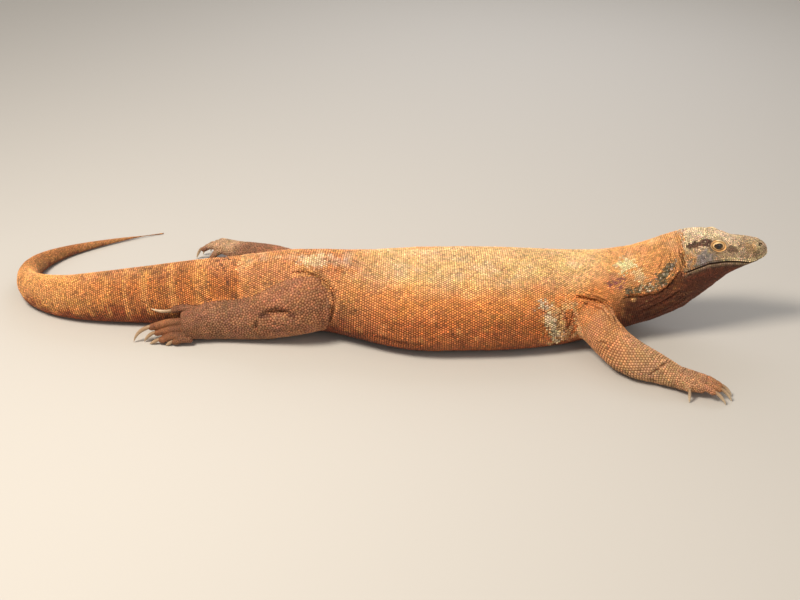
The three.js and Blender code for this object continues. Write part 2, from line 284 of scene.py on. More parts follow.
def point_tree(points: Array) -> KDTree:
    """A search tree over places.

    Args:
        points: Rows of x, y, z.

    Returns:
        The tree, with each place under its row number.
    """
    tree = KDTree(len(points))
    for k, p in enumerate(points.tolist()):
        tree.insert(p, k)
    tree.balance()
    return tree


def settle(obj: Object) -> None:
    """Replaces the object's mesh with what its modifiers make of it, and removes them.

    Args:
        obj: The object.
    """
    graph, old = bpy.context.evaluated_depsgraph_get(), obj.data
    mesh = bpy.data.meshes.new_from_object(obj.evaluated_get(graph), depsgraph=graph)
    obj.modifiers.clear()
    obj.data = mesh
    bpy.data.meshes.remove(old)


def merged_copy(node: Object, swell: float = 0.0) -> tuple[Array, Array]:
    """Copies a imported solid, joins its loose triangles and swells it a little.

    Args:
        node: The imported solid's object, which is left alone.
        swell: How far each corner moves outwards, in metres.

    Returns:
        The corners and the triangles of the copy.
    """
    bm = bmesh.new()
    bm.from_mesh(node.data)
    bmesh.ops.remove_doubles(bm, verts=bm.verts, dist=1e-6)
    bm.normal_update()
    bm.verts.index_update()
    points = np.array([v.co + v.normal * swell for v in bm.verts])
    tris = np.array([[v.index for v in f.verts] for f in bm.faces])
    bm.free()
    return points, tris


def attach(obj: Object, nodes: Iterable[str] = ()) -> None:
    """Puts a finished piece on the model's one body.

    Args:
        obj: The piece.
        nodes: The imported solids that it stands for.
    """
    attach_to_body(obj, "root")
    if nodes:
        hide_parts(*nodes)
    obj.data.calc_loop_triangles()
    log.info("%-26s %7d triangles", obj.name, len(obj.data.loop_triangles))


# ---------------------------------------------------------------- the lines the body follows


@dataclass
class Axis:
    """A smooth line through the middle of the body or of one leg."""

    name: str
    stations: list[tuple[float, float, float, float, float]]  # x, y, z, half width and height in millimetres
    fine: int = 12  # points made between two stations
    points: Array = field(init=False)
    radii: Array = field(init=False)
    along: Array = field(init=False)

    def __post_init__(self) -> None:
        """Draws a Catmull-Rom line through the stations."""
        k = np.array(self.stations) * MM
        k = np.vstack([2 * k[0] - k[1], k, 2 * k[-1] - k[-2]])
        rows = []
        for a, b, c, d in zip(k, k[1:], k[2:], k[3:]):
            for t in np.arange(self.fine) / self.fine:
                bend, turn = 2 * a - 5 * b + 4 * c - d, 3 * b - a - 3 * c + d
                rows.append(0.5 * (2 * b + (c - a) * t + bend * t**2 + turn * t**3))
        rows.append(k[-2])
        rows = np.array(rows)
        self.points, self.radii = rows[:, :3], np.maximum(rows[:, 3:], 0.5 * MM)
        steps = np.linalg.norm(np.diff(self.points, axis=0), axis=1)
        self.along = np.concatenate([[0.0], np.cumsum(steps)])

    @property
    def length(self) -> float:
        """The line's length in metres."""
        return float(self.along[-1])

    def at(self, s: float | Array) -> tuple[Array, Array, Array]:
        """Measures the line at one place or many.

        Args:
            s: Lengths along it in metres.

        Returns:
            The middle, the direction towards the end, and the two radii at each.
        """
        s = np.atleast_1d(s)
        middle, ahead, behind, radii = (
            np.stack([np.interp(q, self.along, v[:, i]) for i in range(v.shape[1])], 1)
            for q, v in (
                (s, self.points),
                (np.minimum(s + 0.012, self.length), self.points),
                (np.maximum(s - 0.012, 0), self.points),
                (s, self.radii),
            )
        )
        return middle, unit(ahead - behind), radii

    def basis(self, s: float | Array) -> tuple[Array, Array, Array]:
        """The directions at one place of the line or many.

        Args:
            s: Lengths along it in metres.

        Returns:
            The direction along the line, the one to its left and the one up.
        """
        _, along, _ = self.at(s)
        left = unit(np.cross(np.array([0.0, 0.0, 1.0]), along))
        return along, left, np.cross(along, left)

    def locate(self, points: Array) -> tuple[Array, Array]:
        """Finds where points lie along and around the line.

        Args:
            points: Places as rows of x, y, z.

        Returns:
            The length along the line, and the angle round it from its crest.
        """
        s, batch = np.empty(len(points)), 20000
        for start in range(0, len(points), batch):
            part = slice(start, start + batch)
            gaps = ((points[part, None, :] - self.points[None]) ** 2).sum(2)
            s[part] = self.along[np.argmin(gaps, axis=1)]
        middle, along, _ = self.at(s)
        extra = ((points - middle) * along).sum(1)
        s = s + np.where((s > 0) & (s < self.length), np.clip(extra, -0.02, 0.02), extra)
        clipped = np.clip(s, 0, self.length)
        middle = self.at(clipped)[0]
        _, left, up = self.basis(clipped)
        d = points - middle
        return s, np.arctan2((d * left).sum(1), (d * up).sum(1))


def body_axis() -> Axis:
    """The line from the snout to the tip of the tail, through the middle of the body.

    Returns:
        The line.
    """
    rows = [  # x, y, half width, crest and keel of each section
        (945, HEAD_Y, 9, 229, 213), (937, HEAD_Y, 21, 240, 203), (920, HEAD_Y, 30, 248, 194),
        (886, HEAD_Y, 37, 252, 179), (852, HEAD_Y, 44, 256, 158), (818, HEAD_Y, 53, 267, 121),
        (780, HEAD_Y, 63, 271, 86), (735, HEAD_Y, 70, 265, 57), (694, HEAD_Y, 76, 250, 38),
        (650, HEAD_Y, 83, 233, 22), (600, -78, 95, 214, 9), (540, -75, 116, 199, -4),
        (470, TRUNK_Y, 140, 191, -10), (370, TRUNK_Y, 160, 188, -12), (240, TRUNK_Y, 171, 190, -12),
        (90, TRUNK_Y, 168, 189, -12), (-30, -69, 131, 193, -7), (-130, -62, 99, 199, -3),
        (-230, -57, 89, 196, -4), (-330, -51, 75, 182, -5), (-440, -46, 62, 170, -4),
        (-560, -45, 55, 153, -4), (-680, -42, 48, 136, -3), (-790, -22, 41, 114, -3),
        (-878, 32, 34, 92, -3), (-916, 112, 28, 72, -2), (-910, 196, 22, 55, -2),
        (-862, 272, 16, 38, -2), (-782, 332, 11, 25, -1.5), (-695, 378, 6.5, 15, -1),
        (-606, 416, 1.6, 3.6, -0.4),
    ]
    return Axis("body", [(x, y, (top + low) / 2, w, (top - low) / 2) for x, y, w, top, low in rows])


LEG_STATIONS = {
    "right_fore": [
        (474, -118, 94, 46, 52), (510, -162, 90, 49, 54), (544, -218, 72, 44, 50),
        (578, -264, 52, 43, 47), (624, -298, 40, 43, 40), (670, -328, 35, 34, 34),
        (704, -348, 30, 27, 27), (733, -360, 28, 31, 21), (762, -368, 25, 30, 17),
    ],
    "left_fore": [
        (474, -32, 94, 46, 52), (508, 12, 90, 49, 54), (542, 62, 72, 44, 50),
        (578, 102, 52, 43, 47), (620, 134, 39, 42, 40), (660, 156, 34, 34, 34),
        (692, 168, 30, 27, 27), (720, 174, 28, 31, 21), (748, 178, 25, 30, 17),
    ],
    "right_hind": [
        (-98, -96, 88, 58, 66), (-158, -124, 98, 67, 77), (-214, -136, 86, 58, 73),
        (-266, -138, 66, 44, 62), (-314, -136, 56, 39, 55), (-364, -134, 52, 36, 51),
        (-404, -134, 50, 35, 50), (-436, -136, 46, 35, 42), (-470, -140, 40, 35, 33),
    ],
    "left_hind": [
        (-150, -40, 88, 58, 62), (-182, 8, 86, 58, 60), (-216, 58, 82, 52, 54),
        (-252, 108, 77, 44, 46), (-292, 150, 67, 39, 41), (-332, 188, 58, 33, 35),
        (-366, 216, 54, 28, 29), (-400, 238, 52, 28, 21), (-434, 256, 51, 27, 17),
    ],
}


class Part(IntEnum):
    """The lengths of the body and legs, numbered as the skin is labelled."""

    HEAD = 0
    THROAT = 1
    NECK = 2
    CHEST = 3
    BELLY = 4
    PELVIS = 5
    TAIL_BASE = 6
    TAIL_END = 7
    UPPER_LEG = 8
    LOWER_LEG = 9
    PAW = 10


NODES_OF_PART = {
    Part.HEAD: ("head", "lower_jaw", "eye_right", "eye_left"), Part.THROAT: ("throat",), Part.NECK: ("neck",),
    Part.CHEST: ("chest",), Part.BELLY: ("belly",), Part.PELVIS: ("pelvis",),
    Part.TAIL_BASE: ("tail_base", "tail_thick"),
    Part.TAIL_END: ("tail_bend_near", "tail_bend_far", "tail_thin"),
    Part.UPPER_LEG: ("upper_arm", "thigh"), Part.LOWER_LEG: ("forearm", "shank"), Part.PAW: ("hand", "foot"),
}


def part_and_leg(node_name: str) -> tuple[int, int]:
    """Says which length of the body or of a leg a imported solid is.

    Args:
        node_name: The solid's name.

    Returns:
        Its part number, and its leg's number from 0, or -1 for the body.
    """
    part_of = {name: part for part, names in NODES_OF_PART.items() for name in names}
    if node_name in part_of:
        return part_of[node_name], -1
    side, bone = node_name.split("_", 1)
    limb = "fore" if bone in ("upper_arm", "forearm", "hand") else "hind"
    return part_of[bone], list(LEG_STATIONS).index(f"{side}_{limb}")


class Surface:
    """A closed mesh that places can be dropped onto."""

    def __init__(self, points: Array, tris: Array) -> None:
        """Builds the search tree over the triangles.

        Args:
            points: Corners as rows of x, y, z.
            tris: Corner numbers of each triangle.
        """
        self.points, self.tris = points, tris
        self.tree = BVHTree.FromPolygons(points.tolist(), tris.tolist(), all_triangles=True)
        a, b, c = (points[tris[:, i]] for i in range(3))
        cross = np.cross(b - a, c - a)
        self.areas = np.linalg.norm(cross, axis=1) / 2
        normals = np.zeros_like(points)
        for i in range(3):
            for k in range(3):
                normals[:, k] += np.bincount(tris[:, i], cross[:, k], len(points))
        self.normals = unit(normals)

    def nearest(self, places: Array, reach: float = 1.0) -> tuple[Array, Array, Array]:
        """Drops places onto the mesh.

        Args:
            places: Rows of x, y, z.
            reach: How far away the mesh may be, in metres.

        Returns:
            The nearest places, the triangle of each, or -1, and the distance moved.
        """
        found, index, moved = np.array(places), np.full(len(places), -1), np.full(len(places), np.inf)
        find = self.tree.find_nearest
        for k, p in enumerate(places.tolist()):
            hit, _, tri, distance = find(p, reach)
            if hit is not None:
                found[k], index[k], moved[k] = hit, tri, distance
        return found, index, moved

    def smooth_normals(self, places: Array, index: Array) -> Array:
        """Normals blended between a triangle's corners at places on it.

        Args:
            places: Rows of x, y, z on the mesh.
            index: The triangle of each place.

        Returns:
            Unit normals as rows.
        """
        tri = self.tris[index]
        a, b, c = (self.points[tri[:, i]] for i in range(3))
        whole = np.cross(b - a, c - a)
        size = np.maximum((whole * whole).sum(1), 1e-24)
        u = (np.cross(c - b, places - b) * whole).sum(1) / size
        v = (np.cross(a - c, places - c) * whole).sum(1) / size
        w = 1 - u - v
        return unit(sum(np.clip(k, 0, 1)[:, None] * self.normals[tri[:, i]] for i, k in enumerate((u, v, w))))


# ---------------------------------------------------------------- folds and openings in the skin


@dataclass(frozen=True)
class Crease:
    """A fold or furrow that follows a line over the skin, with its sizes in millimetres."""

    line: tuple[Point, ...]
    width: float  # half its width
    depth: float  # below zero it is a ridge
    lip: float = 0.0  # how far the skin beside it stands up
    lip_towards: Point | None = None  # the side that stands up, or both if it is left out
    ragged: float = 0.0  # how far its course wanders
    both_sides: bool = False  # whether the head's other side has the same fold
    ends: float = 0.18  # share of the length over which it fades at each end

    def laid(self, surface: Surface) -> list["Crease"]:
        """Draws the fold's line down onto a surface.

        Args:
            surface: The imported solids.

        Returns:
            The fold, and its mirror image if it has one.
        """
        found = []
        for mirrored in range(1 + self.both_sides):
            line = np.array(self.line, float) * MM
            towards = self.lip_towards
            if mirrored:
                line = line * (1, -1, 1) + (0, 2 * HEAD_Y * MM, 0)
                towards = towards and (towards[0], -towards[1], towards[2])
            steps = np.concatenate([[0.0], np.cumsum(np.linalg.norm(np.diff(line, axis=0), axis=1))])
            at = np.linspace(0, steps[-1], max(3, int(steps[-1] / (8 * MM))))
            dense = np.stack([np.interp(at, steps, line[:, k]) for k in range(3)], 1)
            on = tuple(map(tuple, (surface.nearest(dense)[0] / MM).tolist()))
            found.append(replace(self, line=on, lip_towards=towards, both_sides=False))
        return found

    def near(self, points: Array) -> tuple[Array, Array, Array, Array]:
        """Finds the places that it can reach.

        Args:
            points: Places as rows of x, y, z in metres.

        Returns:
            Their indices, how far each is from the line in half widths, how much of the fold is left
            there, and the way from the line to it.
        """
        line, w = np.array(self.line) * MM, self.width * MM
        chosen = np.flatnonzero(((points > line.min(0) - 6 * w) & (points < line.max(0) + 6 * w)).all(1))
        p = points[chosen]
        if self.ragged:
            p = p + np.stack([speckle(p, 9 * MM, 61 + k, 2) for k in range(3)], 1) * self.ragged * MM
        d, share, place = polyline_distance(p, line)
        left = ramp(share, 0, self.ends) * ramp(share, 1, 1 - self.ends) if self.ends else np.ones(len(p))
        return chosen, d / w, left, p - place

    def lift(self, points: Array, normals: Array) -> Array:
        """How far the skin moves.

        Args:
            points: Places on it as rows of x, y, z in metres.
            normals: The skin's normals there.

        Returns:
            How far each place moves along its normal, in metres.
        """
        total = np.zeros(len(points))
        chosen, d, left, away = self.near(points)
        move = -self.depth * np.exp(-(d**2))
        if self.lip:
            bank = self.lip * np.exp(-(((d - 1.9) / 1.1) ** 2))
            if self.lip_towards is not None:
                across = away - (away * normals[chosen]).sum(1)[:, None] * normals[chosen]
                bank = bank * ramp((unit(across) * unit(np.array(self.lip_towards))).sum(1), -0.2, 0.5)
            move = move + bank
        total[chosen] = move * left * MM
        return total

    def shade(self, points: Array) -> Array:
        """How much painted shade lies in it.

        Args:
            points: Places on the skin.

        Returns:
            One value from 0 to 1 for each place.
        """
        total = np.zeros(len(points))
        chosen, d, left, _ = self.near(points)
        total[chosen] = min(1.0, max(0.0, self.depth / 6)) * np.exp(-(d**2)) * left
        return total


@dataclass(frozen=True)
class Boss:
    """A rounded rise or hollow on the skin, with its sizes in millimetres."""

    middle: Point
    reach: Point  # half lengths along x, y and z
    height: float  # below zero it is a hollow
    both_sides: bool = False  # whether the head's other side has one too

    def lift(self, points: Array, normals: Array) -> Array:
        """How far the skin moves.

        Args:
            points: Places on it as rows of x, y, z in metres.
            normals: The skin's normals there, which are not used.

        Returns:
            How far each place moves along its normal, in metres.
        """
        total = np.zeros(len(points))
        middles = [np.array(self.middle)]
        if self.both_sides:
            middles.append(middles[0] * (1, -1, 1) + (0, 2 * HEAD_Y, 0))
        for middle in middles:
            d2 = (((points - middle * MM) / (np.array(self.reach) * MM)) ** 2).sum(1)
            total += self.height * MM * np.exp(-1.6 * d2)
        return total


@dataclass(frozen=True)
class EyeSocket:
    """One eye's opening with its lids, worked into the skin round the eyeball, in millimetres."""

    side: int  # -1 for the right eye and 1 for the left
    forward: float = 815.5  # the eyeball's place along the head
    outward: float = 33.5  # its distance from the head's middle plane
    height: float = 249.5  # and its height over the floor
    radius: float = 11.5
    half_length: float = 10.3  # half the opening's length between the corners
    half_height: float = 7.9

    @property
    def centre(self) -> Array:
        """The eyeball's middle in metres."""
        return np.array([self.forward, HEAD_Y + self.side * self.outward, self.height]) * MM

    @property
    def gaze(self) -> Array:
        """The way the eye looks: outwards, a little forwards and up."""
        return unit(np.array([0.16, self.side * 1.0, 0.16]))

    def faces(self, points: Array, reach: float) -> Array:
        """Which places are on the eye's side and within a reach of its middle, in millimetres."""
        away = points - self.centre
        return (away @ self.gaze > 0) & (np.linalg.norm(away, axis=1) < reach * MM)

    def frame(self) -> tuple[Array, Array]:
        """The opening's own directions.

        Returns:
            The one along it towards the snout, and the one across it upwards.
        """
        fore = unit(np.array([1.0, 0.0, -0.16]) - self.gaze * 0.13)
        up = np.cross(fore, self.gaze) * self.side * -1.0
        up = unit(up if up[2] > 0 else -up)
        return unit(np.cross(up, self.gaze) * (1 if np.cross(up, self.gaze)[0] > 0 else -1)), up

    def spread(self, points: Array) -> tuple[Array, Array, Array]:
        """Where places lie on the opening.

        Args:
            points: Places on the head.

        Returns:
            How many times the opening would grow to reach each, and its place fore and up.
        """
        fore, up = self.frame()
        d = (points - self.centre) / MM
        u, v = d @ fore, d @ up
        half = np.where(v > 0, self.half_height, self.half_height * 0.9)
        return ((np.abs(u) / self.half_length) ** 1.65 + (np.abs(v) / half) ** 2.1) ** (1 / 1.85), u, v

    def shape(self, points: Array) -> Array:
        """Moves the skin round the eye into lids, and behind the eyeball inside the opening.

        Args:
            points: The skin's corners in metres.

        Returns:
            The moved corners.
        """
        d = (points - self.centre) / MM
        near = np.flatnonzero((np.linalg.norm(d, axis=1) < 34) & (d @ self.gaze > 0.5))
        rho, u, v = self.spread(points[near])
        rest = d[near] @ self.gaze
        ball = np.sqrt(np.maximum(self.radius**2 - u**2 - v**2, 25.0))
        upper = v > 0
        # the lids lie over the ball near the opening and run out into the face
        share = 1 - ramp(rho, 1.25, 1.95)
        wanted = (ball + 0.9) * share + rest * (1 - share)
        for middle, wide, high in (
            (1.17, 0.13, np.where(upper, 1.9, 1.2)),
            (1.47, 0.09, np.where(upper, -1.3, -1.5)),
            (1.74, 0.14, np.where(upper, 1.5, 1.3)),
            (2.08, 0.14, np.where(upper, -0.9, -1.4)),
        ):
            wanted += high * np.exp(-(((rho - middle) / wide) ** 2))
        wanted = np.where(rho < 1.0, np.minimum(ball - 4.5, wanted), wanted)
        out = points.copy()
        out[near] += ((wanted - rest) * (1 - ramp(rho, 2.3, 2.7)))[:, None] * self.gaze * MM
        return out


MOUTH_LINE = np.array([(728, 190), (762, 203), (795, 213), (835, 213), (868, 209), (898, 202), (925, 205),
                       (944, 214), (970, 218)], float)


@dataclass(frozen=True)
class Mouth:
    """The closed mouth: a furrow between two lips back to the corner behind the eye, in millimetres."""

    depth: float = 4.2
    half_width: float = 1.5
    upper_lip: float = 1.5  # how far the upper lip stands out over the furrow
    lower_lip: float = 0.7
    corner: float = 733.0  # where it ends along the head

    def height_over(self, points: Array) -> Array:
        """How far places lie above the mouth line, in millimetres."""
        return points[:, 2] / MM - np.interp(points[:, 0] / MM, MOUTH_LINE[:, 0], MOUTH_LINE[:, 1])

    def lift(self, points: Array, normals: Array) -> Array:
        """How far the skin moves.

        Args:
            points: Places on it as rows of x, y, z in metres.
            normals: The skin's normals there.

        Returns:
            How far each place moves along its normal, in metres.
        """
        dz = self.height_over(points)
        along = ramp(points[:, 0] / MM, self.corner - 4, self.corner + 16)
        groove = -self.depth * np.exp(-((dz / self.half_width) ** 2))
        front = 0.45 + 0.55 * ramp(points[:, 0] / MM, 800, 900)
        over = self.upper_lip * front * np.exp(-(((dz - 4.6) / 3.4) ** 2))
        under = self.lower_lip * np.exp(-(((dz + 4.6) / 3.0) ** 2))
        sideways = ramp(1 - np.abs(normals[:, 2]), 0.15, 0.5)
        return (groove + over + under) * along * sideways * MM


NECK_FOLDS = (
    # the loose edge where the neck's side ends over the dark throat
    Crease(((722, -149, 196), (713, -153, 178), (697, -156, 155), (676, -159, 143), (641, -165, 137),
            (612, -168, 139), (590, -171, 137)), 4.2, 5.5, 3.4, (0, -0.4, 1), 2.4, ends=0.1),
    # folds that run along the throat under it
    Crease(((735, -140, 150), (700, -148, 120), (660, -155, 100), (620, -158, 88)),
           4.0, 2.6, 1.8, ragged=2.0),
    Crease(((760, -128, 128), (720, -132, 98), (680, -138, 76), (640, -144, 62)), 4.2, 2.8, 2.0, ragged=2.0),
    Crease(((780, -112, 104), (735, -116, 72), (690, -120, 52), (650, -124, 40)), 4.2, 2.4, 1.8, ragged=2.0),
    Crease(((690, -150, 135), (655, -158, 118), (622, -162, 108)), 3.0, 1.8, 1.2, ragged=1.5),
    Crease(((735, -20, 150), (700, -12, 120), (660, -5, 100), (620, -2, 88)), 4.0, 2.6, 1.8, ragged=2.0),
    Crease(((760, -32, 128), (720, -28, 98), (680, -22, 76), (640, -16, 62)), 4.2, 2.8, 2.0, ragged=2.0),
    Crease(((722, -11, 196), (697, -4, 155), (676, -1, 143), (641, 5, 137), (612, 8, 139)), 4.0, 4.0, 2.4,
           (0, 0.4, 1), 2.4, ends=0.1),
    # the fold where the head joins the neck, behind the ear
    Crease(((723, -122, 252), (722, -132, 240), (723, -141, 224), (726, -147, 208), (728, -150, 197)),
           2.6, 2.6, 1.6, both_sides=True),
    # wrinkles round the neck behind it
    Crease(((704, -126, 240), (700, -140, 222), (700, -148, 206)), 3.0, 1.2, 0.7,
           ragged=1.5, both_sides=True, ends=0.4),
    Crease(((684, -128, 234), (679, -142, 214), (678, -150, 196)), 3.4, 1.1, 0.7,
           ragged=1.5, both_sides=True, ends=0.4),
)

LIMB_FOLDS = (
    # over the shoulder and down in front of it
    Crease(((474, -183, 151), (492, -183, 149), (511, -183, 142), (532, -184, 136), (548, -187, 128),
            (558, -194, 120), (566, -202, 115), (573, -234, 110), (580, -250, 98)), 4.6, 10.5, 4.2,
           (0.6, 0, 1), 1.0, ends=0.1),
    Crease(((486, -192, 140), (514, -196, 134), (538, -204, 122), (550, -218, 108), (556, -240, 94)),
           3.2, 3.6, 1.8, ragged=1.0),
    Crease(((474, 43, 147), (499, 36, 147), (526, 32, 142), (551, 28, 129), (565, 36, 112)), 5.0, 6.5, 2.6,
           (0.6, 0, 1), 1.0, ends=0.12),
    # where the thigh meets the flank and hip
    Crease(((-206, -118, 176), (-186, -116, 178), (-172, -117, 179), (-152, -122, 176), (-138, -128, 172),
            (-116, -142, 163), (-101, -155, 150), (-96, -168, 128), (-104, -176, 98), (-112, -176, 60)),
           5.0, 7.0, 2.4, (0, -0.3, 1), 0.8, ends=0.1),
    Crease(((-150, 0, 170), (-128, 4, 160), (-112, 16, 140), (-108, 30, 110)), 5.0, 4.5, 1.6, ragged=0.8),
    # behind the knee, and the hollow along the shank
    Crease(((-280, -178, 88), (-262, -182, 100), (-240, -186, 107), (-218, -190, 109), (-196, -194, 104)),
           7.0, 9.0, 4.0, (0, 0, 1), 1.0, ends=0.3),
    Crease(((-282, -178, 84), (-288, -178, 66), (-282, -176, 48)), 5.0, 5.0, 2.0, ragged=1.0, ends=0.35),
    Crease(((-206, -178, 60), (-240, -184, 52), (-272, -176, 46)), 6.0, 1.8, ends=0.35),
    # elbow and wrist
    Crease(((516, -258, 72), (531, -270, 77), (550, -285, 81)), 3.6, 2.4, 0.8, ends=0.4),
    Crease(((634, -347, 30), (636, -349, 41), (646, -351, 50), (662, -345, 63), (686, -327, 65)),
           3.4, 3.4, 2.6, (-1, 0, 0.3), 0.4, ends=0.2),
    Crease(((700, -372, 34), (704, -366, 46), (714, -352, 52), (722, -340, 48)), 3.0, 1.6, 0.8, ends=0.3),
    Crease(((664, 190, 40), (666, 184, 58), (664, 168, 66), (660, 146, 58)), 3.4, 2.6, 1.2, ends=0.3),
    # loose skin low on the flank before the thigh, and behind the foreleg
    Crease(((-40, -196, 60), (0, -216, 52), (60, -232, 46), (130, -240, 44)),
           9.0, 2.4, 1.4, ragged=2.0, ends=0.4),
    Crease(((452, -214, 140), (440, -216, 118), (436, -222, 92), (442, -224, 66)), 6.0, 3.0, 1.4, ragged=2.2),
    Crease(((474, -202, 122), (466, -208, 104), (462, -214, 80)), 3.4, 3.0, 1.6, ragged=1.6),
)

HEAD_FORMS = (
    Crease(((796, -108, 267), (812, -112, 267), (828, -112, 264), (843, -106, 259), (860, -101, 255)),
           4.6, -2.2, both_sides=True, ends=0.3),  # brow
    Crease(((860, -104, 252), (885, -101, 248), (910, -97, 245)), 5.0, -1.1, both_sides=True, ends=0.3),
    Crease(((800, -60, 266), (840, -62, 259), (880, -66, 254), (915, -70, 248)),
           7.0, 0.9, both_sides=True, ends=0.4),
    Crease(((846, -120, 240), (856, -118, 236), (866, -116, 232)), 5.0, 1.3, both_sides=True, ends=0.3),
    Crease(((782, -126, 232), (800, -126, 230), (822, -124, 230), (842, -120, 232)),
           2.6, 1.1, both_sides=True, ends=0.25),
    Crease(((738, -140, 188), (750, -137, 181), (772, -131, 176)), 4.0, -1.4, both_sides=True, ends=0.3),
    Boss((762, -126, 240), (26, 16, 12), -1.6, True),  # temple
    Boss((748, -138, 214), (24, 16, 20), 1.8, True),  # jaw muscle
    Boss((924, -98, 246), (9, 7, 6), 1.5, True),  # rim of the nostril
    Boss((784, -80, 272), (26, 22, 10), 1.2),  # crown
)

NOSTRIL = Crease(((918.5, -96.5, 240.5), (924, -94.5, 243.5), (928.5, -91.5, 243.0)),
                 2.5, 4.6, 1.0, both_sides=True, ends=0.1)
EAR = Crease(((725, -131, 240), (728, -136, 231), (731, -141.5, 221), (734, -145.5, 210)), 3.6, 11.0, 1.8,
             both_sides=True, ends=0.12)
SWELLS = (
    # the muscle of the right forearm, and the wrist beyond it
    Boss((596, -322, 34), (46, 30, 34), 5.5), Boss((560, -298, 30), (40, 22, 26), 3.0),
    Boss((628, -312, 70), (34, 26, 20), 3.5), Boss((668, -350, 44), (22, 20, 24), -4.5),
    # the left foot's top drawn in, and the muscle of the left forearm
    Boss((-395, 232, 78), (42, 34, 14), -6.0),
    Boss((610, 170, 50), (50, 26, 30), 2.5),
    # the right thigh, the hollow behind the knee and the ridge in front of it
    Boss((-165, -180, 140), (42, 30, 34), 3.0), Boss((-236, -186, 106), (46, 18, 14), -8.0),
    Boss((-232, -186, 132), (40, 18, 11), 3.5), Boss((-206, -190, 84), (26, 16, 14), 3.0),
    Boss((-268, -182, 70), (16, 14, 20), 3.0), Boss((-330, -178, 60), (40, 18, 18), 1.8),
    # the root of the right thumb
    Boss((719, -384, 27), (10, 10, 12), 4.5), Boss((712, -372, 22), (15, 9, 12), 2.5),
    # the notch under the wrist
    Boss((642, -352, 16), (13, 14, 16), -5.0),
)
WARTS = (
    Boss((619, -169, 131), (5.5, 5, 5.5), 5.5),
    Boss((651, -164, 121), (3.2, 3, 3.2), 3.4),
    Boss((664, -156, 128), (3, 3, 3), 2.6),
    Boss((606, -170, 136), (5, 4, 3), 3.6),
)


TORN_NECK = ((706, -144, 210), (676, -157, 162), (640, -163, 154), (604, -166, 150))
LOOSENESS = (0.10, 0.45, 0.75, 0.85, 0.85, 0.85, 0.8, 0.4, 0.55, 0.4, 0.015)  # of each part, in Part's order


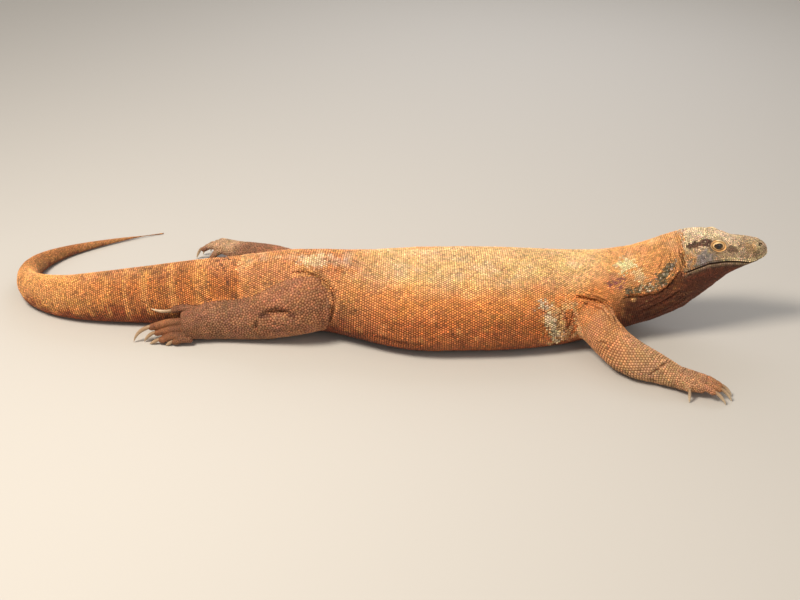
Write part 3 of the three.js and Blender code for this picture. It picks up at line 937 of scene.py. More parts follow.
@dataclass
class Skin:
    """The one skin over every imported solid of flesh."""

    voxel: float = 2.4 * MM  # spacing of the grid that it starts from
    swell: float = 0.4 * MM  # how far the solids grow so that their partings close
    eye_swell: float = 1.6 * MM  # and the eyes, to fill the sockets
    paw_shrink: float = 1.7 * MM  # how far the toes draw in first, so that the grid keeps them apart
    passes: int = 80  # smoothing passes
    most_triangles: int = 192_000  # it is thinned to this many
    torn_lift: float = 1.6  # how far torn skin stands up, in millimetres
    grime: Point = (0.33, 0.27, 0.24)  # how dark the hide between the scales is: partly its own darker colour, partly painted shade in the gaps
    leg_grime: float = 1.4  # how much lighter that darkening is on the legs
    obj: Object = field(init=False)
    folds: list[Crease] = field(init=False)
    surface: Surface = field(init=False)
    parts: Array = field(init=False)
    legs: Array = field(init=False)

    def flesh(self) -> list[str]:
        """Names of the solids that the skin replaces."""
        return [n for n in sorted(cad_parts) if "claw" not in n and not n.startswith("eye")]

    def cast_block(self) -> None:
        """Joins swollen copies of the solids and remeshes them as one closed shape."""
        true, drawn, faces, labels, count = [], [], [], [], 0
        for name in [*self.flesh(), "eye_right", "eye_left"]:
            eye = name.startswith("eye")
            label = part_and_leg(name)
            paw = label[0] == Part.PAW
            points, tris = merged_copy(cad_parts[name], self.eye_swell if eye else self.swell)
            true.append(points)
            drawn.append(merged_copy(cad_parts[name], -self.paw_shrink)[0] if paw else points)
            faces.append(tris + count)
            labels += [label] * len(tris)
            count += len(points)
        tris = np.vstack(faces)
        self.solids, self.solid_labels = Surface(np.vstack(true), tris), np.array(labels)
        self.folds = [each for fold in (*NECK_FOLDS, *LIMB_FOLDS) for each in fold.laid(self.solids)]
        self.obj = mesh_object("skin", np.vstack(drawn), tris)
        remesh = self.obj.modifiers.new("even grid", "REMESH")
        remesh.mode, remesh.voxel_size = "VOXEL", self.voxel
        settle(self.obj)

    def label(self, points: Array) -> tuple[Array, Array]:
        """The part and leg numbers of places on the skin."""
        found = self.solid_labels[self.solids.nearest(points)[1]]
        return found[:, 0], found[:, 1]

    def paw_corners(self, points: Array) -> Array:
        """Finds the paws.

        Args:
            points: Places on the skin.

        Returns:
            Indices of those on the paws.
        """
        boxed = np.zeros(len(points), bool)
        for name in self.flesh():
            if part_and_leg(name)[0] == Part.PAW:
                solid = positions(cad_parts[name].data)
                boxed |= ((points > solid.min(0) - 3 * MM) & (points < solid.max(0) + 3 * MM)).all(1)
        inside = np.flatnonzero(boxed)
        return inside[self.label(points[inside])[0] == Part.PAW]

    def smooth(self) -> None:
        """Softens the solids' facets, more on broad forms than on small ones."""
        points, near = positions(self.obj.data), Neighbours(self.obj.data)
        parts, _ = self.label(points)
        weight = np.array(LOOSENESS)[parts]
        for _ in range(14):  # so that no edge shows between two parts
            weight = near.mean(weight)
        columns = near.ease([points[:, k].copy() for k in range(3)], weight, self.passes)
        columns = near.ease(columns, np.where(parts == Part.PAW, 0.3, 0.5), 3)
        place_corners(self.obj.data, np.stack(columns, 1))

    def refine(self) -> None:
        """Splits the faces of the head and paws, and again those about the eyes."""
        bm = bmesh.new()
        bm.from_mesh(self.obj.data)
        paws = set(self.paw_corners(positions(self.obj.data)).tolist())
        eyes = [Vector(EyeSocket(side).centre) for side in (-1, 1)]
        for chosen_by in (
            lambda a, b: (a.co.x > 0.70 and a.co.z > 0.11) or (a.index in paws and b.index in paws),
            lambda a, b: any((a.co - eye).length < 0.027 for eye in eyes),
        ):
            bm.edges.ensure_lookup_table()
            chosen = [e for e in bm.edges if chosen_by(*e.verts)]
            bmesh.ops.subdivide_edges(bm, edges=chosen, cuts=1, use_grid_fill=True)
            soft = list({v for e in chosen if e.is_valid for v in e.verts})
            for _ in range(2):
                bmesh.ops.smooth_vert(bm, verts=soft, factor=0.5, use_axis_x=True, use_axis_y=True,
                                      use_axis_z=True)
        bmesh.ops.triangulate(bm, faces=[f for f in bm.faces if len(f.verts) > 4])
        bm.to_mesh(self.obj.data)
        bm.free()

    def fit_paws(self) -> None:
        """Brings the toes back out to the solids and rounds their facets."""
        points, near = positions(self.obj.data), Neighbours(self.obj.data)
        paws = self.paw_corners(points)
        # only as far as the paw's own length of the leg, fading in behind the wrist
        found, _, moved = self.solids.nearest(points[paws])
        points[paws] += (found - points[paws]) * ramp(moved, 6 * MM, 4.5 * MM)[:, None]
        weight = np.zeros(len(points))
        weight[paws] = 0.5
        place_corners(self.obj.data, np.stack(near.ease(points.T, weight, 9), 1))

    def sculpt(self) -> None:
        """Works the folds, lids, lips and openings into the skin."""
        mesh = self.obj.data
        points, normals = positions(mesh), rows_of(mesh.vertex_normals, "vector").astype(float)
        parts, _ = self.label(points)
        small = np.isin(parts, (Part.HEAD, Part.PAW))
        points -= normals * (self.swell + COAT_DEPTH * np.where(small, 0.35, 1.0))[:, None]
        # the slack of heavy skin over the trunk, neck and thighs
        body = np.isin(parts, (Part.NECK, Part.CHEST, Part.BELLY, Part.PELVIS, Part.UPPER_LEG))
        slack = 1.1 * speckle(points, 70 * MM, 3, 2) + 0.5 * speckle(points, 26 * MM, 4, 2)
        throat = (parts == Part.THROAT) * 1.3 * speckle(points * (0.5, 1, 1.3), 15 * MM, 5, 2)
        lift = slack * body * MM + throat * MM
        creases = [form for form in (*HEAD_FORMS, NOSTRIL, EAR) if isinstance(form, Crease)]
        openings = [each for form in creases for each in form.laid(self.solids)]
        bosses = [form for form in (*HEAD_FORMS, *SWELLS, *WARTS) if isinstance(form, Boss)]
        for feature in (*self.folds, *openings, *bosses, Mouth()):
            lift += feature.lift(points, normals)
        # torn skin behind the right foreleg and along the neck
        torn = blob(points, (438, -212, 96), (52, 24, 62), 0.3, 58)
        torn = np.maximum(torn, 0.8 * strip(points, TORN_NECK, 13))
        flakes = speckle(points, 13 * MM, 59, 2) + np.abs(speckle(points, 8 * MM, 60, 1)) - 0.5
        lift += torn * self.torn_lift * MM * flakes
        lift += (parts == Part.HEAD) * 0.35 * MM * speckle(points, 9 * MM, 8, 2)
        points += normals * lift[:, None]
        for side in (-1, 1):
            points = EyeSocket(side).shape(points)
        points[:, 2] = np.maximum(points[:, 2], FLOOR_GAP)
        place_corners(mesh, points)

    def thin(self) -> None:
        """Thins the skin's mesh where it is smooth."""
        self.obj.data.calc_loop_triangles()
        now = len(self.obj.data.loop_triangles)
        shrink = self.obj.modifiers.new("fewer faces", "DECIMATE")
        shrink.ratio = min(1.0, self.most_triangles / now)
        settle(self.obj)

    def build(self) -> None:
        """Makes the skin and the surface that the scales are laid on."""
        for step in (self.cast_block, self.smooth, self.refine, self.fit_paws, self.sculpt, self.thin):
            step()
            log.info("skin: %s, %d corners", step.__name__, len(self.obj.data.vertices))
        points, tris = positions(self.obj.data), triangles(self.obj.data)
        self.surface = Surface(points, tris)
        self.parts, self.legs = self.label(points)

    def dress(self, markings: "Markings", hide: Material) -> None:
        """Colours the skin and puts it on the model.

        Args:
            markings: The animal's pattern.
            hide: The skin's finish.
        """
        points = self.surface.points
        shade = markings.paint(points, self.parts, self.legs)
        # the hide between scales is darkened, partly its own colour and partly painted shade in the gaps; the
        # lids, which have no scales, are left as they are
        lids = np.zeros(len(shade))
        for socket in (EyeSocket(-1), EyeSocket(1)):
            lids = np.maximum(lids, (1 - ramp(socket.spread(points)[0], 1.8, 2.1)) * socket.faces(points, 34))
        lids = lids[:, None]
        gap = np.array(self.grime) * np.where(self.legs >= 0, self.leg_grime, 1.0)[:, None]
        put_colours(self.obj.data, "tint", shade * (gap * (1 - lids) + lids))
        self.obj.data.materials.clear()
        self.obj.data.materials.append(hide)
        attach(self.obj, self.flesh())


# ---------------------------------------------------------------- markings


class Tone(Enum):
    """The animal's colours, as sRGB."""

    SAND = "#efc286"  # along the back
    HONEY = "#ee9d56"  # upper flank
    OCHRE = "#c1733a"  # middle of the flank
    CLAY = "#bd703d"  # lower flank
    RUST = "#7d3a1c"  # belly edge, darkened partly as painted shade
    UMBER = "#542b1b"  # underside, darkened partly as painted shade
    NECK = "#e9a162"
    NECK_TOP = "#f2b06e"
    TAIL_GOLD = "#fab56c"
    TAIL_TAN = "#cf8346"
    TAIL_BROWN = "#9a4f2a"
    TAIL_SPECK = "#66402c"
    PELVIS = "#d99760"
    PALE_HIP = "#eccba6"
    THIGH = "#aa7350"
    SHANK = "#96684a"
    FOOT = "#8b5d40"
    TOE = "#a0643e"
    UPPER_ARM = "#cf9260"
    FOREARM = "#c89a70"
    HAND = "#c0895e"
    CROWN = "#f8dfb6"
    TEMPLE = "#5c4032"
    CHEEK = "#a09a98"
    SNOUT = "#d0b48e"
    LIP = "#fae2b2"
    JAW = "#6a4b38"
    JAW_CORNER = "#d2874a"
    EAR_FRONT = "#eab274"
    LID = "#dcaa6e"
    # painted shade, for the eyes' openings, the nostrils, the ear slits and the mouth's furrow
    SOCKET = "#34281f"
    THROAT = "#713c24"
    THROAT_FOLD = "#9c6845"
    THROAT_EDGE = "#d0793e"
    CREAM = "#f6e4b4"
    BRUISE = "#84485a"
    TEAL = "#5f5f4a"
    GREY = "#a69a86"
    SHED = "#e6cfae"


def blob(points: Array, middle: Point, reach: Point, ragged: float = 0.35, seed: int = 31) -> Array:
    """How far places lie inside a patch with an uneven edge, from 0 to 1.

    Args:
        points: Places as rows of x, y, z in metres.
        middle: The patch's middle in millimetres.
        reach: Its half lengths along x, y and z in millimetres.
        ragged: How uneven its edge is, as a share of its size.
        seed: Picks the unevenness.

    Returns:
        One value for each place.
    """
    d = np.linalg.norm((points - np.array(middle) * MM) / (np.array(reach) * MM), axis=1)
    d = d + ragged * speckle(points, 12 * MM, seed, 2)
    d = d + 0.6 * ragged * speckle(points, 4.4 * MM, seed + 5, 1)
    return 1 - ramp(d, 0.72, 1.12)


def strip(points: Array, line: Sequence[Point], width: float, ragged: float = 0.35, seed: int = 41) -> Array:
    """How far places lie inside a stripe along a line, from 0 to 1.

    Args:
        points: Places as rows of x, y, z in metres.
        line: The stripe's corners in millimetres.
        width: Half its width in millimetres.
        ragged: How uneven its edge is, as a share of its width.
        seed: Picks the unevenness.

    Returns:
        One value for each place.
    """
    d, _, _ = polyline_distance(points, np.array(line) * MM)
    d = d / (width * MM) + ragged * speckle(points, 10 * MM, seed, 2)
    d = d + 0.9 * ragged * speckle(points, 4 * MM, seed + 5, 1)
    return 1 - ramp(d, 0.7, 1.15)


def lay(base: Array, tone: Tone, mask: Array | float) -> None:
    """Mixes a colour into the rows of base, in place, as far as the mask says."""
    base += (rgb(tone.value) - base) * np.clip(np.asarray(mask, float), 0, 1).reshape(-1, 1)


def by_height(h: Array, stops: Sequence[tuple[float, Tone]]) -> Array:
    """Colours that run from one tone to the next by height.

    Args:
        h: The height of each point.
        stops: Heights in rising order, each with its tone.

    Returns:
        One linear colour for each point.
    """
    where = [at for at, _ in stops]
    table = np.array([rgb(tone.value) for _, tone in stops])
    return np.stack([np.interp(h, where, table[:, k]) for k in range(3)], 1)


@dataclass(frozen=True)
class Patch:
    """A place of one colour with an uneven edge: a blob, or a stripe where it has a width.

    Attributes:
        tone: Its colour.
        cover: How far it hides what lies under it, from 0 to 1.
        place: A blob's middle, or the corners of a stripe's line, in millimetres.
        reach: A blob's half lengths along x, y and z, or half a stripe's width.
        ragged: How uneven its edge is, as a share of its size.
        seed: Picks the unevenness.
    """

    tone: Tone
    cover: float
    place: Point | tuple[Point, ...]
    reach: Point | float
    ragged: float
    seed: int

    def put(self, colours: Array, points: Array, share: Array | float = 1.0) -> None:
        """Lays the patch over colours in place.

        Args:
            colours: Linear colours, which it changes.
            points: Their places.
            share: How much of the patch each point takes.
        """
        shape = blob if isinstance(self.reach, tuple) else strip
        mask = shape(points, self.place, self.reach, self.ragged, self.seed)
        lay(colours, self.tone, self.cover * mask * share)


TAIL_BANDS = (  # place from the snout and half width of each light band, in millimetres
    (1248, 12), (1390, 20), (1465, 10), (1534, 11), (1582, 7), (1632, 10), (1672, 8), (1710, 11),
    (1769, 15), (1830, 16), (1900, 14),
)
NECK_EDGE = (  # where the loose skin of the neck's side ends over the throat
    (724, -149, 200), (715, -153, 182), (697, -156, 155), (676, -159, 143), (641, -165, 137),
    (612, -168, 139), (595, -171, 137),
)
NECK_BAND = (  # the grey-green skin above that edge
    (706, -144, 214), (690, -152, 190), (676, -157, 168), (652, -160, 158), (628, -162, 157),
    (606, -164, 152),
)
TORN = (  # the strip of shed skin behind the right shoulder
    (398, -203, 136), (412, -214, 116), (424, -220, 92), (434, -219, 62), (440, -210, 40),
)
HIP_PATCH = Patch(Tone.PALE_HIP, 0.9, (-130, -86, 197), (56, 28, 20), 0.3, 32)
BRUISE = Patch(Tone.BRUISE, 0.85, (577, -157, 171), (14, 12, 17), 0.8, 35)
CREAM_PATCHES = (
    Patch(Tone.CREAM, 0.95, (601, -124, 202), (25, 30, 15), 0.45, 33),
    Patch(Tone.CREAM, 0.5, (632, -146, 180), (16, 12, 22), 0.6, 34),
)
SHOULDER_PATCHES = (  # round the shed skin
    Patch(Tone.THROAT_EDGE, 0.9, (464, -209, 104), (12, 14, 24), 0.5, 54),
    Patch(Tone.RUST, 0.7, ((446, -207, 128), (452, -210, 112), (458, -210, 88), (452, -212, 76)), 4, 0.6, 50),
    Patch(Tone.THROAT_EDGE, 0.7, (400, -206, 122), (9, 10, 9), 0.5, 48),
)
FACE_PATCHES = (
    Patch(Tone.EAR_FRONT, 0.9, (744, -138, 218), (19, 26, 24), 0.3, 81),
    Patch(Tone.CHEEK, 0.85, (786, -132, 232), (22, 24, 17), 0.4, 82),
    Patch(Tone.CHEEK, 0.6, (776, -134, 216), (34, 24, 12), 0.4, 83),
    Patch(Tone.TEMPLE, 0.98, ((796, -114, 258), (772, -121, 257), (750, -123, 254)), 8.5, 0.45, 84),
    Patch(Tone.TEMPLE, 0.75, (853, -116, 243), (14, 14, 9), 0.4, 85),
)
SNOUT_PATCH = Patch(Tone.EAR_FRONT, 0.35, (898, -100, 238), (16, 16, 16), 0.5, 87)
JAW_PATCHES = (
    Patch(Tone.JAW_CORNER, 0.9, ((716, -146, 192), (732, -144, 190), (752, -138, 190), (768, -133, 193)),
          6.5, 0.35, 88),
    Patch(Tone.EAR_FRONT, 0.5, ((719, -121, 254), (718, -134, 240), (719, -143, 222)), 3.0, 0.3, 89),
)
OPENING_PATCHES = (  # the rim and crack of the nostril, with painted shade in its hollow and in the ear slit
    Patch(Tone.CROWN, 0.7, ((916, -98, 240), (922, -96, 247), (931, -92, 246)), 6.5, 0.3, 92),
    Patch(Tone.TEMPLE, 0.7, ((872, -106, 243), (886, -102, 238), (902, -98, 236)), 3.4, 0.4, 93),
    Patch(Tone.SOCKET, 0.9, ((919, -97, 240.5), (924, -95, 243), (928, -92, 243)), 3.6, 0.1, 90),
    Patch(Tone.SOCKET, 0.95, ((725, -131, 238), (728, -137, 230), (731, -142, 221), (734, -145, 211)),
          4.6, 0.1, 91),
)
ARM_PATCHES = (
    Patch(Tone.HONEY, 0.45, (500, -205, 108), (26, 30, 34), 0.4, 57),
    Patch(Tone.SAND, 0.55, (478, -212, 62), (18, 26, 40), 0.4, 58),
)
# painted shade in the hollow behind the right knee
KNEE_HOLLOW_SHADE = Patch(
    Tone.UMBER, 0.75, ((-276, -178, 92), (-252, -182, 103), (-224, -187, 109), (-196, -192, 103)), 9, 0.2, 59
)


@dataclass(frozen=True)
class Markings:
    """The animal's pattern, the same on the skin and on the scales over it.

    Attributes:
        folds: The skin's folds, which get painted shade.
    """

    folds: Sequence[Crease] = ()

    def paint(self, points: Array, parts: Array, legs: Array) -> Array:
        """The colour at each place.

        Args:
            points: Places on the body as rows of x, y, z.
            parts: Each place's part number.
            legs: Each place's leg number, or -1.

        Returns:
            Linear red, green and blue as rows.
        """
        s, _ = BODY.locate(points)
        middle, _, radii = BODY.at(np.clip(s, 0, BODY.length))
        h = np.clip((points[:, 2] - middle[:, 2]) / np.maximum(radii[:, 1], MM) * 0.5 + 0.5, 0, 1)
        h = h + 0.05 * speckle(points, 55 * MM, 11, 3)
        colours = self.trunk(points, h, s / MM)
        tail = (Part.TAIL_BASE, Part.TAIL_END)
        for mask, painter in (
            (np.isin(parts, tail), self.tail),
            (parts == Part.HEAD, self.head),
            (parts == Part.THROAT, self.throat),
        ):
            if mask.any():
                colours[mask] = painter(points[mask], h[mask], s[mask] / MM)
        limb = legs >= 0
        if limb.any():
            colours[limb] = self.limb(points[limb], legs[limb], colours[limb])
        self.blotch(points, colours)
        # painted shade along the skin's folds, deeper folds darker
        for fold in self.folds:
            colours *= 1 - 0.78 * fold.shade(points)[:, None]
        return np.clip(colours, 0.003, 0.95)

    def blotch(self, points: Array, colours: Array) -> None:
        """Adds the broad unevenness that dust and wear leave.

        Args:
            points: The places.
            colours: Their linear colours, which it changes.
        """
        broad = speckle(points, 60 * MM, 21, 2)
        fine = speckle(points, 14 * MM, 22, 2)
        grain = speckle(points, 6.5 * MM, 25, 1)
        colours *= (1 + 0.11 * broad + 0.15 * fine + 0.1 * grain)[:, None]
        colours[:, 2] *= 1 + 0.1 * speckle(points, 40 * MM, 23, 2)
        colours[:, 1] *= 1 + 0.05 * speckle(points, 24 * MM, 24, 2)

    def trunk(self, points: Array, h: Array, s: Array) -> Array:
        """Neck, chest, belly and pelvis.

        Args:
            points: Places on them.
            h: Each place's height in the body, from 0 to 1.
            s: Its distance from the snout in millimetres.

        Returns:
            Their colours as rows.
        """
        # darker towards the belly: partly the flank's own tones, partly painted shade under the body
        flank = by_height(h, ((0.0, Tone.UMBER), (0.13, Tone.RUST), (0.3, Tone.CLAY), (0.56, Tone.OCHRE),
                              (0.8, Tone.HONEY), (0.95, Tone.SAND)))
        neck = by_height(h, ((0.0, Tone.THROAT), (0.28, Tone.THROAT_FOLD), (0.42, Tone.CLAY),
                             (0.6, Tone.NECK), (0.9, Tone.NECK_TOP)))
        share = (1 - ramp(s, 330, 440))[:, None]
        colours = flank * (1 - share) + neck * share
        # the hips darken towards the belly the same way, partly as painted shade
        hips = by_height(h, ((0.0, Tone.UMBER), (0.3, Tone.RUST), (0.6, Tone.PELVIS), (0.9, Tone.PELVIS)))
        share = (ramp(s, 900, 1090) * (1 - ramp(s, 1250, 1330)))[:, None]
        colours = colours * (1 - share) + hips * share
        HIP_PATCH.put(colours, points)
        self.neck_edge(points, h, s, colours)
        # lighter and redder places on the back, flank and hip
        lay(colours, Tone.TAIL_GOLD, 0.55 * blob(points, (288, -120, 226), (62, 50, 18), 0.5, 61))
        lay(colours, Tone.THROAT_EDGE, 0.45 * blob(points, (-92, -110, 196), (36, 50, 20), 0.5, 62))
        for tone, cover, size, seed, octaves, low, high, where in (
            (Tone.SHED, 0.35, 34, 63, 2, 0.15, 0.9, ramp(h, 0.86, 0.98)),
            (Tone.RUST, 0.5, 26, 64, 3, 0.15, 0.9, ramp(h, 0.66, 0.4)),
            (Tone.TAIL_GOLD, 0.4, 22, 65, 2, 0.35, 1.0, ramp(h, 0.2, 0.34) * ramp(h, 0.8, 0.6)),
        ):
            lay(colours, tone, cover * ramp(speckle(points, size * MM, seed, octaves), low, high) * where)
        # the shedding patch behind the shoulder
        lay(colours, Tone.SAND, 0.7 * blob(points, (440, -206, 92), (46, 22, 62), 0.4, 51))
        torn = strip(points, TORN, 12, 0.8, 52)
        lay(colours, Tone.SHED, 0.8 * torn)
        lay(colours, Tone.TEAL, 0.55 * torn * ramp(speckle(points, 8 * MM, 53, 2), 0.1, 0.6))
        lay(colours, Tone.CREAM, 0.7 * torn * ramp(speckle(points, 7 * MM, 55, 2), 0.2, 0.7))
        for patch in SHOULDER_PATCHES:
            patch.put(colours, points)
        for wart in WARTS:
            reach = tuple(1.25 * r for r in wart.reach)
            lay(colours, Tone.EAR_FRONT, 0.9 * blob(points, wart.middle, reach, 0.15, 49))
        return colours

    def neck_edge(self, points: Array, h: Array, s: Array, colours: Array) -> None:
        """The loose edge of the neck over the throat and the worn skin above it, in place.

        Args:
            points: Places on the trunk.
            h: Each place's height in the body.
            s: Its distance from the snout in millimetres.
            colours: The trunk's colours so far.
        """
        x = points[:, 0] / MM
        z_edge = np.interp(x, [p[0] for p in NECK_EDGE[::-1]], [p[2] for p in NECK_EDGE[::-1]])
        front = ramp(x, 575, 606) * (x < 765)
        side = ramp(np.abs(points[:, 1] / MM - HEAD_Y), 30, 52)
        below = ramp(points[:, 2] / MM + 1.6 * speckle(points, 8 * MM, 36, 2), z_edge + 1.0, z_edge - 3.0)
        streaks = ramp(speckle(points * (0.4, 1, 1.6), 12 * MM, 37, 2), 0.1, 0.9)
        lay(colours, Tone.THROAT, front * below * 0.92)
        lay(colours, Tone.THROAT_FOLD, front * below * 0.6 * streaks)
        lay(colours, Tone.THROAT, 0.8 * ramp(h, 0.36, 0.2) * (1 - ramp(s, 400, 470)))
        grain = speckle(points, 4.6 * MM, 46, 1)
        band = strip(points, NECK_BAND, 11, 0.6, 42) * side
        lay(colours, Tone.TEAL, 0.92 * band * ramp(grain, -1.4, -0.3))
        lay(colours, Tone.SHED, 0.8 * strip(points, NECK_BAND, 8, 0.7, 47) * side * ramp(grain, 0.5, 1.0))
        upper = ((708, -143, 216), (700, -148, 204), (690, -152, 190))
        lay(colours, Tone.GREY, 0.8 * strip(points, upper, 8, 0.6, 43))
        rim = [(x, y, z + 5.5) for x, y, z in NECK_EDGE]
        lay(colours, Tone.THROAT_EDGE, 0.85 * strip(points, rim, 3.4, 0.4, 44) * side)
        for patch in CREAM_PATCHES:
            patch.put(colours, points)
        BRUISE.put(colours, points, ramp(grain, -1.2, 0.1))
        lay(colours, Tone.BRUISE, 0.22 * blob(points, (571, -149, 184), (12, 12, 12), 0.5, 38))
        scattered = ramp(speckle(points, 15 * MM, 39, 3), 0.5, 1.1)
        lay(colours, Tone.BRUISE, 0.3 * scattered * blob(points, (620, -160, 160), (50, 24, 26)))
        scabs = ramp(speckle(points, 10 * MM, 45, 2), 0.5, 1.0)
        over = ((690, -154, 160), (650, -163, 152), (612, -167, 148))
        lay(colours, Tone.THROAT_EDGE, 0.7 * scabs * strip(points, over, 12))

    def tail(self, points: Array, h: Array, s: Array) -> Array:
        """The tail: golden bands between speckled brown ones, darker along its underside, partly as painted
        shade.

        Args:
            points: Places on the tail.
            h: Each place's height in it.
            s: Its distance from the snout in millimetres.

        Returns:
            Their colours as rows.
        """
        # darkest underneath: partly the tail's own tone, partly painted shade
        colours = by_height(h, ((0.0, Tone.UMBER), (0.2, Tone.TAIL_BROWN), (0.45, Tone.TAIL_TAN),
                                (0.85, Tone.TAIL_TAN), (1, Tone.PELVIS)))
        wander = 6 * speckle(points, 24 * MM, 71, 2)
        light = np.zeros(len(points))
        for place, half in TAIL_BANDS:
            light = np.maximum(light, 1 - ramp(np.abs(s + wander - place) / half, 0.55, 1.25))
        bright = ramp(s, 1560, 1800)
        light = np.maximum(light * 0.55, 0.85 * bright * ramp(h, 0.25, 0.5))
        lay(colours, Tone.TAIL_GOLD, light * ramp(h, 0.08, 0.3))
        light *= 1 - 0.75 * ramp(speckle(points, 12 * MM, 74, 2), 0.15, 0.75)
        dark = ramp(speckle(points * (1, 1, 0.6), 17 * MM, 72, 3), 0.05, 0.9) * (1 - light)
        dark = np.maximum(dark, 0.8 * ramp(speckle(points, 7 * MM, 75, 1), 0.55, 0.95))
        where = 0.38 + 0.6 * np.exp(-(((s - 1345) / 45) ** 2)) + 0.2 * np.exp(-(((s - 1500) / 60) ** 2))
        lay(colours, Tone.TAIL_SPECK, dark * where * (1 - 0.7 * bright))
        # darker along the underside: partly the tail's own tone, partly painted shade
        lay(colours, Tone.TAIL_BROWN, 0.75 * ramp(h, 0.3, 0.1))
        runs = ramp(speckle(points * (1, 1, 0.3), 15 * MM, 76, 2), 0.1, 0.55)
        lay(colours, Tone.TAIL_BROWN, 0.85 * runs * ramp(h, 0.66, 0.42) * ramp(s, 1450, 1520))
        crest = ramp(speckle(points, 16 * MM, 77, 2), -0.2, 0.6) * ramp(h, 0.9, 0.99)
        lay(colours, Tone.TAIL_SPECK, 0.55 * crest * ramp(s, 1400, 1440) * (1 - bright))
        far = ramp(s, 1890, 2010)
        lay(colours, Tone.TAIL_SPECK, 0.5 * far)
        lay(colours, Tone.OCHRE, 0.45 * far * ramp(h, 0.55, 0.95))
        return colours

    def head(self, points: Array, h: Array, s: Array) -> Array:
        """The head, from the pale crown to the dark jaw.

        Args:
            points: Places on the head.
            h: Each place's height in the body.
            s: Its distance from the snout in millimetres.

        Returns:
            Their colours as rows.
        """
        x, z = points[:, 0] / MM, points[:, 2] / MM
        y = np.abs(points[:, 1] / MM - HEAD_Y)
        right = np.stack([x, HEAD_Y - y, z], 1) * MM  # both sides are marked alike
        colours = np.tile(rgb(Tone.SNOUT.value), (len(points), 1))
        top = ramp(z + 0.25 * y, 256, 272) * (1 - ramp(x, 838, 880))
        lay(colours, Tone.TEMPLE, 0.5 * ramp(speckle(right, 9 * MM, 80, 3), 0.0, 0.9) * (1 - 0.7 * top))
        lay(colours, Tone.CROWN, top * (0.55 + 0.45 * ramp(speckle(right, 8 * MM, 95, 2), -0.5, 0.4)))
        lay(colours, Tone.CROWN, 0.35 * ramp(z + 0.2 * y, 248, 258))
        lay(colours, Tone.CROWN, 0.5 * ramp(speckle(right, 7 * MM, 79, 2), 0.2, 0.9) * ramp(x, 800, 850))
        for patch in FACE_PATCHES:
            patch.put(colours, right)
        lay(colours, Tone.TEMPLE, 0.35 * ramp(speckle(right, 12 * MM, 86, 3), 0.2, 1.0) * ramp(x, 846, 880))
        SNOUT_PATCH.put(colours, right)
        mouth = Mouth().height_over(points)
        lip = ramp(mouth, 0.5, 3) * (1 - ramp(mouth, 9, 14)) * ramp(x, 812, 850)
        lay(colours, Tone.LIP, 0.9 * lip)
        behind = ramp(mouth, 0, 2) * (1 - ramp(mouth, 3, 8)) * ramp(x, 850, 810) * ramp(x, 735, 760)
        lay(colours, Tone.TEMPLE, 0.7 * behind)
        lay(colours, Tone.JAW, ramp(mouth, 2.5, -1.0) * ramp(x, 722, 748))
        lay(colours, Tone.THROAT, 0.94 * ramp(mouth, -9, -20))
        # a pale band along the lower lip: painted highlight
        lay(colours, Tone.SNOUT, 0.55 * ramp(mouth, -1, -3) * (1 - ramp(mouth, -7, -11)))
        for patch in JAW_PATCHES:
            patch.put(colours, right)
        for side in (-1, 1):
            self.lids(EyeSocket(side), points, colours)
        for patch in OPENING_PATCHES:
            patch.put(colours, right)
        # painted shade along the mouth's furrow
        lay(colours, Tone.SOCKET, 0.8 * ramp(np.abs(mouth), 2.2, 0.8) * ramp(x, 735, 750))
        back = ramp(x + 3 * speckle(points, 7 * MM, 94, 2), 733, 714)
        colours += (self.trunk(points, h, s) - colours) * back[:, None]
        return colours

    def lids(self, socket: EyeSocket, points: Array, colours: Array) -> None:
        """The pale lids of one eye, with painted shade in their creases and where they meet the eyeball, in
        place.

        Args:
            socket: The eye's socket.
            points: Places on the head.
            colours: The head's colours so far.
        """
        rho, _, v = socket.spread(points)
        on = socket.faces(points, 35)
        crease = 0.85 * ramp(v, 1, -3)
        # the dark rings are painted shade: in the lids' creases and where the lids meet the eyeball
        for tone, inner, outer, where in (
            (Tone.TEMPLE, (1.85, 1.98), (2.12, 2.3), 0.8 * ramp(v, 2, -3)),
            (Tone.TEMPLE, (1.8, 1.9), (2.0, 2.15), 0.4 * (v < 12)),
            (Tone.LID, None, (1.72, 1.9), 1 - ramp(v, 11.5, 13.5)),
            (Tone.LIP, None, (1.3, 1.4), 0.5),
            (Tone.TEMPLE, (1.36, 1.45), (1.5, 1.6), crease),
            (Tone.TEMPLE, (1.36, 1.45), (1.5, 1.6), 0.6 * ramp(v, 2, 5)),
            (Tone.SOCKET, None, (1.0, 1.1), 1.0),
        ):
            from_inside = ramp(rho, *inner) if inner else 1.0
            lay(colours, tone, on * from_inside * (1 - ramp(rho, *outer)) * where)

    def throat(self, points: Array, h: Array, s: Array) -> Array:
        """The loose skin under the jaw.

        Args:
            points: Places on the throat.
            h: Each place's height in the body, which is not used.
            s: Its distance from the snout in millimetres, which is not used.

        Returns:
            Their colours as rows.
        """
        colours = np.tile(rgb(Tone.THROAT.value), (len(points), 1))
        folds = speckle(points * (0.35, 1, 1.8), 13 * MM, 61, 3)
        lay(colours, Tone.THROAT_FOLD, 0.65 * ramp(folds, 0.0, 0.9))
        lay(colours, Tone.JAW, 0.4 * ramp(points[:, 0] / MM, 800, 880))
        return colours

